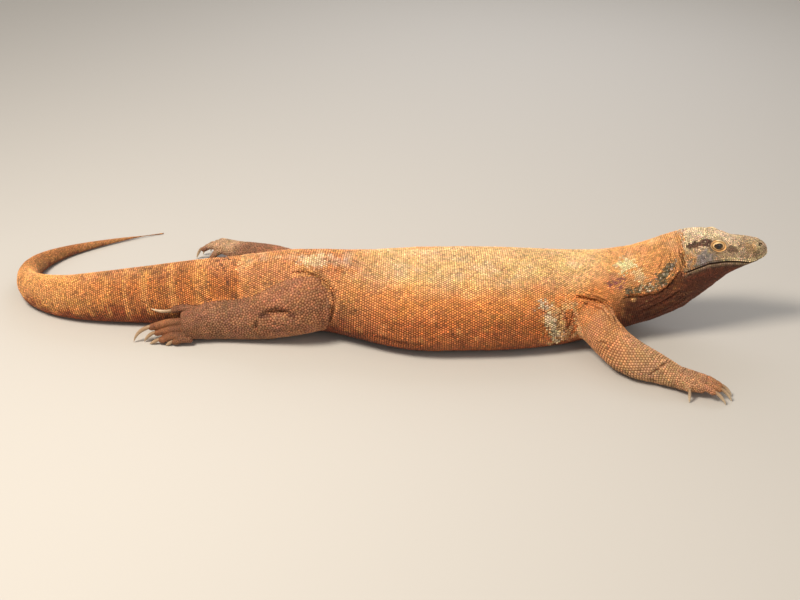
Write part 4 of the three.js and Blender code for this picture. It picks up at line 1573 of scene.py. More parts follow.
    def limb(self, points: Array, legs: Array, trunk: Array) -> Array:
        """The legs, browner and greyer than the body.

        Args:
            points: Places on the legs.
            legs: Each place's leg number.
            trunk: The body's own colour there.

        Returns:
            Their colours as rows.
        """
        colours = np.empty((len(points), 3))
        for leg, axis in enumerate(LEGS.values()):
            chosen = legs == leg
            if not chosen.any():
                continue
            share = axis.locate(points[chosen])[0] / axis.length
            fore = (Tone.UPPER_ARM, Tone.FOREARM, Tone.HAND)
            upper, lower, paw = fore if leg < 2 else (Tone.THIGH, Tone.SHANK, Tone.FOOT)
            mixed = by_height(share, ((0.0, upper), (0.42, upper), (0.62, lower), (0.85, lower), (1.0, paw)))
            height = points[chosen, 2] / MM
            # darker near the floor: painted shade where the legs come down to it
            lay(mixed, Tone.FOOT, 0.4 * ramp(height, 34, 6))
            if leg >= 2:
                lay(mixed, Tone.TOE, 0.55 * ramp(share, 1.03, 1.12))
            if leg == 3:  # dust lies on the left foot
                lay(mixed, Tone.PALE_HIP, 0.4 * ramp(height, 30, 60) * ramp(share, 0.7, 0.9))
            colours[chosen] = mixed
        # painted shade behind the right knee
        KNEE_HOLLOW_SHADE.put(colours, points)
        # the body's colour runs a little way down over the shoulder
        over = blob(points, (505, -176, 136), (50, 40, 22), 0.3, 56)
        colours += (trunk - colours) * (over * 0.75)[:, None]
        for patch in ARM_PATCHES:
            patch.put(colours, points)
        return colours


# ---------------------------------------------------------------- finishes


def node(tree: NodeTree, kind: str, links: dict | None = None, **settings: object) -> Node:
    """Adds a node to a tree with its settings and links.

    Args:
        tree: The tree that it goes in.
        kind: The node's Blender type name.
        links: What each input takes, by its name or number: a socket, or a plain value.
        **settings: The node's own properties.

    Returns:
        The new node.
    """
    new = tree.nodes.new(kind)
    for key, value in settings.items():
        setattr(new, key, value)
    for key, value in (links or {}).items():
        if isinstance(value, NodeSocket):
            tree.links.new(value, new.inputs[key])
        else:
            new.inputs[key].default_value = value
    return new


def patchy(tree: NodeTree, where: NodeSocket, size: float, detail: float, span: Span) -> Sockets:
    """A noise over the object, and a factor that follows it.

    Args:
        tree: The material's tree.
        where: The places that the noise is drawn on.
        size: Its coarseness in millimetres.
        detail: How many finer noises are added to it.
        span: The least and the greatest factor.

    Returns:
        The noise and the factor.
    """
    noise = node(tree, "ShaderNodeTexNoise", {"Vector": where, "Scale": 1 / (size * MM), "Detail": detail})
    fitted = node(tree, "ShaderNodeMapRange", {"Value": noise.outputs["Fac"], "From Min": 0.3,
                                              "From Max": 0.7, "To Min": span[0], "To Max": span[1]})
    return noise.outputs["Fac"], fitted.outputs[0]


@dataclass(frozen=True)
class Finish:
    """A finish: one shader, whose inputs the dress method of each kind of finish makes."""

    name: str
    roughness: float

    def dress(self, tree: NodeTree) -> dict[str, object]:
        """What the shader's inputs take, by name."""
        return {}

    def material(self) -> Material:
        """Builds the material.

        Returns:
            The material, named for what it is.
        """
        material = bpy.data.materials.new(self.name)
        material.use_nodes = True
        tree = material.node_tree
        tree.nodes.clear()
        shader = node(tree, "ShaderNodeBsdfPrincipled", {"Roughness": self.roughness, **self.dress(tree)})
        node(tree, "ShaderNodeOutputMaterial", {"Surface": shader.outputs[0]})
        return material


@dataclass(frozen=True)
class ScaleFinish(Finish):
    """Dry keratin scales over bone beads, grown, worn smooth on top and dusty.

    The tops are matt with a faint waxy shine, and painted shade darkens each scale towards its root.
    """

    name: str = "keratin_scales"
    roughness: float = 0.58
    mottle: float = 5.0  # size in millimetres of the uneven dust
    grit: float = 1.4  # size in millimetres of the fine pitting, drawn coarser than the real 0.3 mm
    root: float = 0.3  # how dark the painted shade at a scale's root is
    bump: float = 0.25  # strength of the pitting

    def dress(self, tree: NodeTree) -> dict[str, object]:
        """Tints each scale from its attributes and pits it.

        Args:
            tree: The material's tree.

        Returns:
            What the shader's inputs take.
        """
        tint = node(tree, "ShaderNodeAttribute", attribute_name="tint")
        crown = node(tree, "ShaderNodeAttribute", attribute_name="crown")
        where = node(tree, "ShaderNodeTexCoord").outputs["Object"]
        _, shade = patchy(tree, where, self.mottle, 3.0, (0.86, 1.12))
        # each scale darker towards its root: painted shade where the scales meet
        root_shade = node(tree, "ShaderNodeMapRange", {"Value": crown.outputs["Fac"], "From Min": 0.1,
                                                "From Max": 0.85, "To Min": self.root, "To Max": 1.0})
        both = node(tree, "ShaderNodeMath", {0: shade, 1: root_shade.outputs[0]}, operation="MULTIPLY")
        coloured = node(tree, "ShaderNodeVectorMath", {0: tint.outputs["Color"], "Scale": both.outputs[0]},
                        operation="SCALE")
        pits, rough = patchy(tree, where, self.grit, 2.0, (self.roughness - 0.1, self.roughness + 0.14))
        bump = node(tree, "ShaderNodeBump", {"Height": pits, "Strength": self.bump, "Distance": 0.25 * MM})
        return {"Base Color": coloured.outputs[0], "Roughness": rough, "Normal": bump.outputs[0],
                "Specular IOR Level": 0.38}


@dataclass(frozen=True)
class HideFinish(Finish):
    """Thin leathery hide between the scales, grown, dusty and matt, finely wrinkled."""

    name: str = "reptile_hide"
    roughness: float = 0.78
    wrinkle: float = 2.2  # size in millimetres of the wrinkles
    dust: float = 9.0  # and of the dust's patches

    def dress(self, tree: NodeTree) -> dict[str, object]:
        """Tints the hide from its attribute and wrinkles it.

        Args:
            tree: The material's tree.

        Returns:
            What the shader's inputs take.
        """
        tint = node(tree, "ShaderNodeAttribute", attribute_name="tint")
        where = node(tree, "ShaderNodeTexCoord").outputs["Object"]
        cells = node(tree, "ShaderNodeTexVoronoi", {"Vector": where, "Scale": 1 / (self.wrinkle * MM)},
                     feature="F1")
        _, shade = patchy(tree, where, self.dust, 4.0, (0.82, 1.15))
        coloured = node(tree, "ShaderNodeVectorMath", {0: tint.outputs["Color"], "Scale": shade},
                        operation="SCALE")
        bump = node(tree, "ShaderNodeBump", {"Height": cells.outputs["Distance"], "Strength": 0.35,
                                            "Distance": 0.4 * MM}, invert=True)
        return {"Base Color": coloured.outputs[0], "Normal": bump.outputs[0], "Specular IOR Level": 0.3}


@dataclass(frozen=True)
class HornFinish(Finish):
    """Claw horn: grown keratin in fine lengthwise layers, scuffed dull, paler towards the tip."""

    name: str = "claw_horn"
    roughness: float = 0.42
    base: str = "#a07f5f"  # near the toe
    tip: str = "#dfc8a6"  # at the worn point
    layer: float = 1.6  # thickness in millimetres of the layers, drawn coarser than the real ones

    def dress(self, tree: NodeTree) -> dict[str, object]:
        """Colours a claw along its length and grains it.

        Args:
            tree: The material's tree.

        Returns:
            What the shader's inputs take.
        """
        reach = node(tree, "ShaderNodeAttribute", attribute_name="reach")
        where = node(tree, "ShaderNodeTexCoord").outputs["Object"]
        flat = node(tree, "ShaderNodeMapping", {"Vector": where, "Scale": (0.25, 1.0, 1.0)})
        mix = node(tree, "ShaderNodeMix", {
            "Factor": reach.outputs["Fac"], 6: linear(self.base), 7: linear(self.tip)}, data_type="RGBA")
        grain, shade = patchy(tree, flat.outputs[0], self.layer, 3.0, (0.72, 1.15))
        coloured = node(tree, "ShaderNodeVectorMath", {0: mix.outputs[2], "Scale": shade}, operation="SCALE")
        bump = node(tree, "ShaderNodeBump", {"Height": grain, "Strength": 0.3, "Distance": 0.3 * MM})
        return {"Base Color": coloured.outputs[0], "Normal": bump.outputs[0]}


@dataclass(frozen=True)
class EyeFinish(Finish):
    """A reptile's eye under a wet clear cornea: round black pupil, dark brown iris."""

    name: str = "wet_eye"
    roughness: float = 0.18
    pupil: float = 5.4  # radius in millimetres over the ball
    iris: float = 8.8  # and the iris's
    edge: float = 12.0  # how far from the pupil's middle the colours run
    ray: float = 1.1  # size in millimetres of the iris's rays

    def dress(self, tree: NodeTree) -> dict[str, object]:
        """Colours the ball by how far a place is from the pupil's middle.

        Args:
            tree: The material's tree.

        Returns:
            What the shader's inputs take.
        """
        away = node(tree, "ShaderNodeAttribute", attribute_name="from_pupil")
        where = node(tree, "ShaderNodeTexCoord").outputs["Object"]
        rays = node(tree, "ShaderNodeTexNoise",
                    {"Vector": where, "Scale": 1 / (self.ray * MM), "Detail": 4.0})
        shift = node(tree, "ShaderNodeMath", {0: rays.outputs["Fac"], 1: 1.0, 2: -0.5},
                     operation="MULTIPLY_ADD")
        uneven = node(tree, "ShaderNodeMath", {0: away.outputs["Fac"], 1: shift.outputs[0]}, operation="ADD")
        share = node(tree, "ShaderNodeMapRange", {"Value": uneven.outputs[0], "From Max": self.edge})
        bands = node(tree, "ShaderNodeValToRGB", {"Fac": share.outputs[0]})
        pupil, iris = self.pupil / self.edge, self.iris / self.edge
        stops = bands.color_ramp.elements
        stops[0].position, stops[0].color = 0.0, linear("#050403")
        stops[1].position, stops[1].color = pupil, linear("#070504")
        for at, tone in ((pupil + 0.03, "#4e2f12"), (pupil + 0.10, "#38220f"),
                         (iris, "#2a1a0e"), (iris + 0.04, "#120c08")):
            stops.new(at).color = linear(tone)
        return {"Base Color": bands.outputs[0], "Coat Weight": 0.7, "Coat Roughness": 0.06, "Coat IOR": 1.38}


@dataclass(frozen=True)
class FloorFinish(Finish):
    """Pale matt board, rolled with flat paint."""

    name: str = "matt_board"
    roughness: float = 0.9
    colour: str = "#c2beb8"

    def dress(self, tree: NodeTree) -> dict[str, object]:
        """One even colour."""
        return {"Base Color": linear(self.colour)}


def put_colours(mesh: Mesh, name: str, colours: Array) -> None:
    """Stores linear colours at the mesh's corners under a name."""
    flat = np.column_stack([colours, np.ones(len(colours))]).astype(np.float32).ravel()
    mesh.attributes.new(name, "FLOAT_COLOR", "POINT").data.foreach_set("color", flat)


def put_values(mesh: Mesh, name: str, values: Array) -> None:
    """Stores numbers, or vectors, at the mesh's corners under a name."""
    kind, key = ("FLOAT_VECTOR", "vector") if values.ndim == 2 else ("FLOAT", "value")
    mesh.attributes.new(name, kind, "POINT").data.foreach_set(key, values.astype(np.float32).ravel())


# ---------------------------------------------------------------- the coat of scales


class ScaleForm(Enum):
    """The kinds of scale: corners round its rim, how square it is, and how far the top is drawn in."""

    PEBBLE = (6, 0.0, 0.72, 0.60)
    RING = (8, 0.55, 0.80, 0.70)
    GRANULE = (6, 0.0, 0.76, 0.62)
    PLATE = (6, 0.0, 0.80, 0.74)

    def mesh(self) -> tuple[Array, list[list[int]], Array]:
        """One scale a unit long, wide and high, its root a little under the skin.

        Returns:
            Its corners, its faces, and how high up the scale each corner is, from 0 to 1.
        """
        corners, square, top, shoulder = self.value
        turn = np.arange(corners) * 2 * math.pi / corners + (math.pi / 8 if corners == 8 else 0)
        reach = 1 + square * (1 / np.maximum(np.abs(np.cos(turn)), np.abs(np.sin(turn))) - 1)
        rim = np.stack([np.cos(turn) * reach, np.sin(turn) * reach, 0 * turn], 1) * 0.5
        if corners == 8:
            rim *= 0.94
        verts = np.vstack([rim + (0, 0, -0.3), rim * (top, top, 1) + (0, 0, shoulder), [[0, 0, 1.0]]])
        faces = []
        for k in range(corners):
            n = (k + 1) % corners
            faces += [[k, n, corners + n, corners + k], [corners + k, corners + n, 2 * corners]]
        return verts, faces, np.concatenate([np.zeros(corners), np.full(corners, 0.85), [1.0]])

    def sample(self) -> Object:
        """An object that holds one scale, with what the coat's tree reads from it.

        Returns:
            The object.
        """
        verts, faces, crown = self.mesh()
        obj = mesh_object(f"one_{self.name.lower()}", verts, faces)
        put_values(obj.data, "crown", crown)
        put_values(obj.data, "cell", np.column_stack([verts[:, :2] + 0.5, np.zeros(len(verts))]))
        return obj


@dataclass
class Scales:
    """Scales of one kind, each a place on the skin with a size and a lie."""

    places: Array  # roots as rows of x, y, z
    sizes: Array  # length along the lie, width and height of each, in metres
    lies: Array  # the way each one points
    normals: Array | None
    parts: Array
    legs: Array

    def kept(self, mask: Array) -> "Scales":
        """The scales that the mask picks."""
        values = (getattr(self, f.name) for f in fields(self))
        return Scales(*(None if v is None else v[mask] for v in values))

    @staticmethod
    def joined(groups: Sequence["Scales"]) -> "Scales":
        """All the scales of several groups as one."""
        return Scales(*(np.concatenate([getattr(g, f.name) for g in groups]) for f in fields(Scales)))


@dataclass
class CoatTree:
    """The geometry nodes that set one scale on each root and lay it along the body."""

    patch: float = 0.003  # how wide each scale's patch is on the bake map
    uneven: float = 0.16  # how much scales differ in height, as a share
    seed: int = 12  # fixes the unevenness
    tree: NodeTree = field(init=False)

    def __post_init__(self) -> None:
        """Builds the tree with its named inputs."""
        tree = bpy.data.node_groups.new("scale_coat", "GeometryNodeTree")
        tree.interface.new_socket("Geometry", in_out="INPUT", socket_type="NodeSocketGeometry")
        for label, kind, value in (
            ("Scale", "NodeSocketObject", None), ("Finish", "NodeSocketMaterial", None),
            ("Patch width", "NodeSocketFloat", self.patch), ("Unevenness", "NodeSocketFloat", self.uneven),
            ("Seed", "NodeSocketInt", self.seed),
        ):
            socket = tree.interface.new_socket(label, in_out="INPUT", socket_type=kind)
            if value is not None:
                socket.default_value = value
        tree.interface.new_socket("Geometry", in_out="OUTPUT", socket_type="NodeSocketGeometry")
        given = node(tree, "NodeGroupInput").outputs
        stored = {name: node(tree, "GeometryNodeInputNamedAttribute", {"Name": name},
                             data_type="FLOAT_VECTOR").outputs[0]
                  for name in ("cell", "root_map", "stand", "lie", "size")}
        scale = node(tree, "GeometryNodeObjectInfo", {"Object": given["Scale"], "As Instance": True})
        turned = node(tree, "FunctionNodeAxesToRotation", {0: stored["stand"], 1: stored["lie"]},
                      primary_axis="Z", secondary_axis="X")
        low, high = (node(tree, "ShaderNodeMath", {0: 1.0, 1: given["Unevenness"]}, operation=how)
                     for how in ("SUBTRACT", "ADD"))
        vary = node(tree, "FunctionNodeRandomValue",
                    {2: low.outputs[0], 3: high.outputs[0], "Seed": given["Seed"]}, data_type="FLOAT")
        stretch = node(tree, "ShaderNodeCombineXYZ", {0: 1.0, 1: 1.0, 2: vary.outputs[1]})
        size = node(tree, "ShaderNodeVectorMath", {0: stored["size"], 1: stretch.outputs[0]},
                    operation="MULTIPLY")
        laid = node(tree, "GeometryNodeInstanceOnPoints", {
            "Points": given["Geometry"], "Instance": scale.outputs["Geometry"],
            "Rotation": turned.outputs[0], "Scale": size.outputs[0]})
        real = node(tree, "GeometryNodeRealizeInstances", {"Geometry": laid.outputs[0]})
        spot = node(tree, "ShaderNodeVectorMath", {0: stored["cell"], "Scale": given["Patch width"]},
                    operation="SCALE")
        on_map = node(tree, "ShaderNodeVectorMath", {0: stored["root_map"], 1: spot.outputs[0]},
                      operation="ADD")
        mapped = node(tree, "GeometryNodeStoreNamedAttribute",
                      {"Geometry": real.outputs[0], "Name": "OFBake", "Value": on_map.outputs[0]},
                      data_type="FLOAT2", domain="CORNER")
        flow = mapped.outputs[0]
        for name in stored:
            flow = node(tree, "GeometryNodeRemoveAttribute", {"Geometry": flow, "Name": name}).outputs[0]
        dressed = node(tree, "GeometryNodeSetMaterial", {"Geometry": flow, "Material": given["Finish"]})
        node(tree, "NodeGroupOutput", {"Geometry": dressed.outputs[0]})
        self.tree = tree

    def grow(self, name: str, scales: Scales, roots: Array, tints: Array, form: Object,
             finish: Material) -> Object:
        """Makes one piece of the coat as a plain mesh.

        Args:
            name: The piece's name.
            scales: Its scales.
            roots: Each scale's place on the bake map.
            tints: Each scale's colour, linear.
            form: The object that holds one scale.
            finish: The scales' material.

        Returns:
            The finished object, without modifiers.
        """
        mesh = bpy.data.meshes.new(name)
        mesh.vertices.add(len(scales.places))
        place_corners(mesh, scales.places)
        for key, values in (("stand", scales.normals), ("lie", scales.lies), ("size", scales.sizes),
                            ("root_map", np.column_stack([roots, np.zeros(len(roots))]))):
            put_values(mesh, key, values)
        put_colours(mesh, "tint", tints)
        obj = linked(name, mesh)
        coat = obj.modifiers.new("coat", "NODES")
        coat.node_group = self.tree
        given = {"Scale": form, "Finish": finish}
        for item in self.tree.interface.items_tree:
            if item.item_type == "SOCKET" and item.in_out == "INPUT" and item.name in given:
                coat[item.identifier] = given[item.name]
        settle(obj)
        obj.data.shade_smooth()
        return obj


@dataclass(frozen=True)
class RingPlan:
    """How scales stand in rings along one axis, with spacings in millimetres."""

    places: tuple[float, ...]  # lengths along the axis, in metres, at which the rest is given
    across: tuple[float, ...]  # spacing round the ring
    ahead: tuple[float, ...]  # spacing from ring to ring
    height: tuple[float, ...]  # height of the scales
    low_across: float = 1.0  # how much wider the spacing is at the bottom edge, as a factor
    offset: float = 0.5  # how far every other ring is shifted, as a share of a scale


BODY_PLAN = RingPlan(
    (0.20, 0.34, 0.46, 0.75, 0.98, 1.12, 1.28, 1.5, 1.75, 1.95, 2.1, 2.3, 2.41),
    (4.6, 5.0, 5.8, 6.3, 6.3, 6.0, 5.4, 4.8, 4.5, 4.2, 3.8, 3.2, 2.6),
    (4.1, 4.4, 5.1, 5.5, 5.5, 5.4, 5.4, 5.4, 5.3, 5.0, 4.6, 3.8, 3.2),
    (1.4, 1.5, 1.8, 2.0, 2.0, 1.9, 1.7, 1.6, 1.3, 1.0, 0.8, 0.6, 0.4),
    1.32,
)
FORE_PLAN = RingPlan(
    (0.0, 0.10, 0.2, 0.3, 0.36, 0.42),
    (5.2, 5.4, 7.2, 6.6, 5.0, 4.6),
    (4.6, 4.8, 6.6, 6.0, 4.8, 4.4),
    (1.3, 1.3, 1.8, 1.6, 1.3, 1.2),
)
# spacing, height and width of the close-set scales on each part, in Part's order
CLOSE_PITCH = (3.5, 4.8, 4.8, 5.8, 6.2, 5.8, 5.8, 4.0, 5.9, 5.6, 4.6)
CLOSE_HEIGHT = (0.9, 1.0, 1.4, 1.6, 1.8, 1.6, 1.6, 1.0, 1.6, 1.5, 1.1)
CLOSE_WIDTH = (1.14, 1.12, 1.1, 1.1, 1.1, 1.1, 1.1, 1.1, 1.26, 1.26, 1.24)
LIP_ROWS = (  # height over the mouth, size and height of the scales, and the row's two ends
    (4.4, 5.6, 0.9, 742, 936), (9.0, 4.6, 0.9, 748, 932), (-4.6, 5.2, 0.8, 746, 932),
    (-9.0, 4.4, 0.7, 756, 926),
)
LID_ROWS = ((2.0, 2.2, 0.45), (2.2, 2.6, 0.5))  # place round the eye's opening, size and height

BODY = body_axis()
LEGS = {name: Axis(name, rows) for name, rows in LEG_STATIONS.items()}


def spaced(points: Array, pitch: Array, laid: Scales) -> list[int]:
    """Picks places one after another, each only if it is clear of all before it.

    Args:
        points: The places on offer, in order.
        pitch: How far apart scales should stand at each.
        laid: The scales that are there already.

    Returns:
        Indices of the places picked.
    """
    cell, overlap = 9 * MM, 0.43
    grid: dict[tuple[int, int, int], list[tuple[float, float, float, float]]] = {}

    def key(p: Sequence[float]) -> tuple[int, int, int]:
        """The grid cell that a place is in."""
        return int(p[0] // cell), int(p[1] // cell), int(p[2] // cell)

    for p, w in zip(laid.places.tolist(), np.minimum(laid.sizes[:, 0], laid.sizes[:, 1]).tolist()):
        grid.setdefault(key(p), []).append((*p, w))
    offsets = list(itertools.product((-1, 0, 1), repeat=3))
    chosen = []
    for k, ((x, y, z), w) in enumerate(zip(points.tolist(), pitch.tolist())):
        i, j, m = key((x, y, z))
        near = (q for di, dj, dm in offsets for q in grid.get((i + di, j + dj, m + dm), ()))
        if all((x - a) ** 2 + (y - b) ** 2 + (z - c) ** 2 >= (overlap * (w + v)) ** 2 for a, b, c, v in near):
            grid.setdefault((i, j, m), []).append((x, y, z, w))
            chosen.append(k)
    return chosen


@dataclass
class Coat:
    """The whole coat: rings of scales on the body and forelegs, and close-set ones in between."""

    skin: Skin  # that it is laid on
    markings: Markings  # the pattern it shares with the skin
    seed: int = 20  # fixes every random draw
    turns: int = 96  # places measured round a ring
    jitter: float = 0.22 * MM  # how far a scale in a ring strays
    reach: float = 11 * MM  # how far a ring's places may lie from the skin
    sink: float = 0.15  # how far roots lie under the skin, in millimetres
    groups: list[Scales] = field(default_factory=list)

    def __post_init__(self) -> None:
        """Starts the random draws."""
        self.random = np.random.default_rng(self.seed)

    def labels(self, tri: Array) -> tuple[Array, Array]:
        """The part and leg numbers of the skin's triangles."""
        corner = self.skin.surface.tris[tri, 0]
        return self.skin.parts[corner], self.skin.legs[corner]

    def add(self, scales: Scales, tri: Array, keep: Array) -> None:
        """Adds those scales of a group that are kept, each standing square on the skin.

        Args:
            scales: The group, still without normals.
            tri: The skin's triangle under each.
            keep: Which ones stay.
        """
        group = scales.kept(keep)
        group.normals = self.skin.surface.smooth_normals(group.places, tri[keep])
        self.groups.append(group)
        log.info("%6d scales laid", len(group.places))

    # -- rings ---------------------------------------------------------------

    def outline(self, axis: Axis, s: float, tree: BVHTree) -> Array:
        """Measures the solids round an axis.

        Args:
            axis: The line.
            s: The length along it.
            tree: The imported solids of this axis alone.

        Returns:
            Places round the body as rows, from the crest on.
        """
        (middle,), _, (radii,) = axis.at(s)
        _, (left,), (up,) = axis.basis(s)
        hits = np.empty((self.turns, 3))
        for k, turn in enumerate(np.linspace(0, 2 * math.pi, self.turns + 1)[:-1]):
            way = left * math.sin(turn) * radii[0] + up * math.cos(turn) * radii[1]
            outside = middle + way * 1.5 + way / np.linalg.norm(way) * 0.02
            back = middle - outside
            hit = tree.ray_cast(Vector(outside), Vector(back), float(np.linalg.norm(back)))[0]
            hits[k] = hit if hit is not None else middle + way
        return hits

    def rings(self, axis: Axis, plan: RingPlan, leg: int, span: tuple[Part, Part], tree: BVHTree) -> None:
        """Lays rings of scales along an axis.

        Args:
            axis: The line that they stand round.
            plan: Their spacing.
            leg: The leg it runs through, or -1.
            span: The first and last parts that its rings stand on.
            tree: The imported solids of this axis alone, to measure round.
        """
        s, row, found = float(plan.places[0]), 0, []
        while s < min(axis.length, float(plan.places[-1])):
            pitch, step, height = (
                np.interp(s, plan.places, each) * MM for each in (plan.across, plan.ahead, plan.height)
            )
            along, hits = axis.basis(s)[0], self.outline(axis, s, tree)
            for side in (1, -1):
                line = hits[np.arange(0, self.turns // 2 + 1) * side]
                arc = np.concatenate([[0.0], np.cumsum(np.linalg.norm(np.diff(line, axis=0), axis=1))])
                spread = pitch * (1 + (plan.low_across - 1) * ramp(arc / arc[-1], 0.55, 0.8))
                count = np.concatenate([[0.0], np.cumsum(np.diff(arc) * 2 / (spread[1:] + spread[:-1]))])
                shift = plan.offset * (row % 2) * side
                ranks = np.arange(0 if side == 1 else 1, int(count[-1] - 0.35 + 1)) + shift
                ranks = ranks[(ranks >= 0) & (ranks <= count[-1] - 0.3)]
                at = np.interp(ranks, count, arc)
                places = np.stack([np.interp(at, arc, line[:, k]) for k in range(3)], 1)
                even = np.ones(len(at))
                found.append(np.column_stack([places, step * even, np.interp(at, arc, spread), height * even,
                                              np.repeat(along, len(at), 0)]))
            s += step
            row += 1
        rows = np.vstack(found)
        rows[:, :3] += self.random.normal(0, self.jitter, (len(rows), 3))
        places, tri, moved = self.skin.surface.nearest(rows[:, :3])
        parts, legs = self.labels(tri)
        # corner to corner along the lie and flat to flat across it, less the gaps
        on_tail = np.isin(parts, (Part.TAIL_BASE, Part.TAIL_END))[:, None]
        sizes = rows[:, 3:6] * np.where(on_tail, (0.95, 0.95, 1.0), (1.21, 0.93, 1.0))
        own = (legs == leg) & (parts >= span[0]) & (parts <= span[1])
        self.add(Scales(places, sizes, rows[:, 6:9], None, parts, legs), tri,
                 own & (moved < self.reach) & ~self.folded(places))

    # -- rows round the eyes and along the lips -----------------------------------

    def lip_row(self, side: int, over: float, size: float, high: float, first: float,
                last: float) -> list[list[float]]:
        """One row of square scales along a lip.

        Args:
            side: -1 for the right side of the head and 1 for the left.
            over: How far over the mouth it runs, in millimetres.
            size: The scales' size.
            high: Their height.
            first: Where it begins along the head.
            last: Where it ends, at the snout.

        Returns:
            Each scale's place, size and lie.
        """
        rows, x = [], float(first)
        while x < last:
            z = float(np.interp(x, MOUTH_LINE[:, 0], MOUTH_LINE[:, 1])) + over
            width = size * (0.7 + 0.3 * min(1.0, (last + 12 - x) / 60))
            round_tip = x > 915
            outside = np.array([x + (14 if round_tip else 0), HEAD_Y + side * 120, z]) * MM
            way = np.array([-0.12 if round_tip else 0.0, -side, 0.0])
            hit = self.skin.surface.tree.ray_cast(Vector(outside), Vector(way), 0.15)[0]
            if hit is not None:
                rows.append([*hit, width * MM, size * 0.86 * MM, high * MM, -1.0, 0.0, 0.02])
            x += width
        return rows

    def lid_row(self, socket: EyeSocket, rho: float, size: float, high: float) -> list[list[float]]:
        """One ring of small scales round an eye.

        Args:
            socket: The eye's socket.
            rho: How many times larger than the opening the ring is.
            size: The scales' size in millimetres.
            high: Their height.

        Returns:
            Each scale's place, size and lie.
        """
        rows, (fore, up) = [], socket.frame()
        count = int(2 * math.pi * rho * 9.2 / size)
        for turn in np.arange(count) * 2 * math.pi / count:
            u = math.cos(turn) * rho**1.12 * socket.half_length
            v = math.sin(turn) * rho**0.88 * socket.half_height * (1 if turn < math.pi else 0.9)
            place = socket.centre + (fore * u + up * v) * MM
            lie = fore * -math.sin(turn) * socket.half_length + up * math.cos(turn) * socket.half_height
            start = Vector(place + socket.gaze * 0.04)
            hit = self.skin.surface.tree.ray_cast(start, Vector(-socket.gaze), 0.05)[0]
            if hit is not None and (hit - Vector(socket.centre)).length > socket.radius * MM:
                rows.append([*hit, size * MM, size * MM, high * MM, *lie])
        return rows

    def face_rows(self) -> None:
        """Lays the rows of scales along the lips and round the eyes."""
        rows = []
        for side in (-1, 1):
            for lip in LIP_ROWS:
                rows += self.lip_row(side, *lip)
            for lid in LID_ROWS:
                rows += self.lid_row(EyeSocket(side), *lid)
        rows = np.array(rows)
        places, tri, _ = self.skin.surface.nearest(rows[:, :3])
        head, body = np.full(len(rows), int(Part.HEAD)), np.full(len(rows), -1)
        self.add(Scales(places, rows[:, 3:6], rows[:, 6:9], None, head, body), tri, body < 0)

    # -- close-set scales in between -------------------------------------------------

    def pitch(self, points: Array, parts: Array, legs: Array) -> Array:
        """How far apart close-set scales stand.

        Args:
            points: Places on the skin.
            parts: Each place's part number.
            legs: Each place's leg number, or -1.

        Returns:
            The spacing at each place, in metres.
        """
        pitch = (np.array(CLOSE_PITCH) * MM)[parts]
        head = parts == Part.HEAD
        x, z = points[head, 0] / MM, points[head, 2] / MM
        y = np.abs(points[head, 1] / MM - HEAD_Y)
        size = 3.3 + 1.0 * ramp(z + 0.2 * y, 256, 268) - 0.3 * ramp(x, 880, 930) - 0.4 * ramp(x, 730, 715)
        pitch[head] = size * MM
        for leg, axis in enumerate(LEGS.values()):
            paw = np.flatnonzero((parts == Part.PAW) & (legs == leg))
            share = axis.locate(points[paw])[0] / axis.length
            pitch[paw] *= 1 - 0.40 * ramp(share, 0.96, 1.1)
        return pitch

    def closed(self, points: Array) -> Array:
        """Where no scale may stand: in the eyes, mouth, nostrils and ears.

        Args:
            points: Places on the skin.

        Returns:
            True or false for each.
        """
        shut = np.zeros(len(points), bool)
        for socket in (EyeSocket(-1), EyeSocket(1)):
            shut |= (socket.spread(points)[0] < 2.36) & socket.faces(points, 34)
        x, over = points[:, 0] / MM, np.abs(Mouth().height_over(points))
        shut |= (over < 11.5) & (x > 744) & (x < 934)
        shut |= (over < 1.6) & (x > 736)
        for line, width in ((NOSTRIL.line, 3.2), (EAR.line, 5.4)):
            right = np.array(line) * MM
            for each in (right, right * (1, -1, 1) + (0, 2 * HEAD_Y * MM, 0)):
                shut |= polyline_distance(points, each)[0] < width * MM
        return shut

    def folded(self, points: Array) -> Array:
        """Where a deep fold swallows the scales."""
        return np.any([fold.shade(points) > 0.62 for fold in self.skin.folds], axis=0)

    def scattered(self, laid: Scales) -> tuple[Array, Array, Array]:
        """Strews places over the skin where the rings leave it bare.

        Args:
            laid: The scales in rings and rows.

        Returns:
            The places, the triangle under each, and how far apart scales should stand there.
        """
        surface, every = self.skin.surface, np.arange(len(self.skin.surface.tris))
        centres = surface.points[surface.tris].mean(1)
        pitch = self.pitch(centres, *self.labels(every))
        tree = point_tree(laid.places)
        bare = np.array([tree.find(c)[2] for c in centres.tolist()])
        wanted = np.where(bare > 0.6 * pitch, surface.areas / (0.87 * pitch**2) * 9, 0)
        tri = self.random.choice(len(wanted), int(wanted.sum()), p=wanted / wanted.sum())
        u, v = self.random.random((2, len(tri)))
        flip = u + v > 1
        u[flip], v[flip] = 1 - u[flip], 1 - v[flip]
        a, b, c = (surface.points[surface.tris[tri, k]] for k in range(3))
        points = a + u[:, None] * (b - a) + v[:, None] * (c - a)
        open_skin = ~self.closed(points)
        points, tri = points[open_skin], tri[open_skin]
        return points, tri, self.pitch(points, *self.labels(tri))

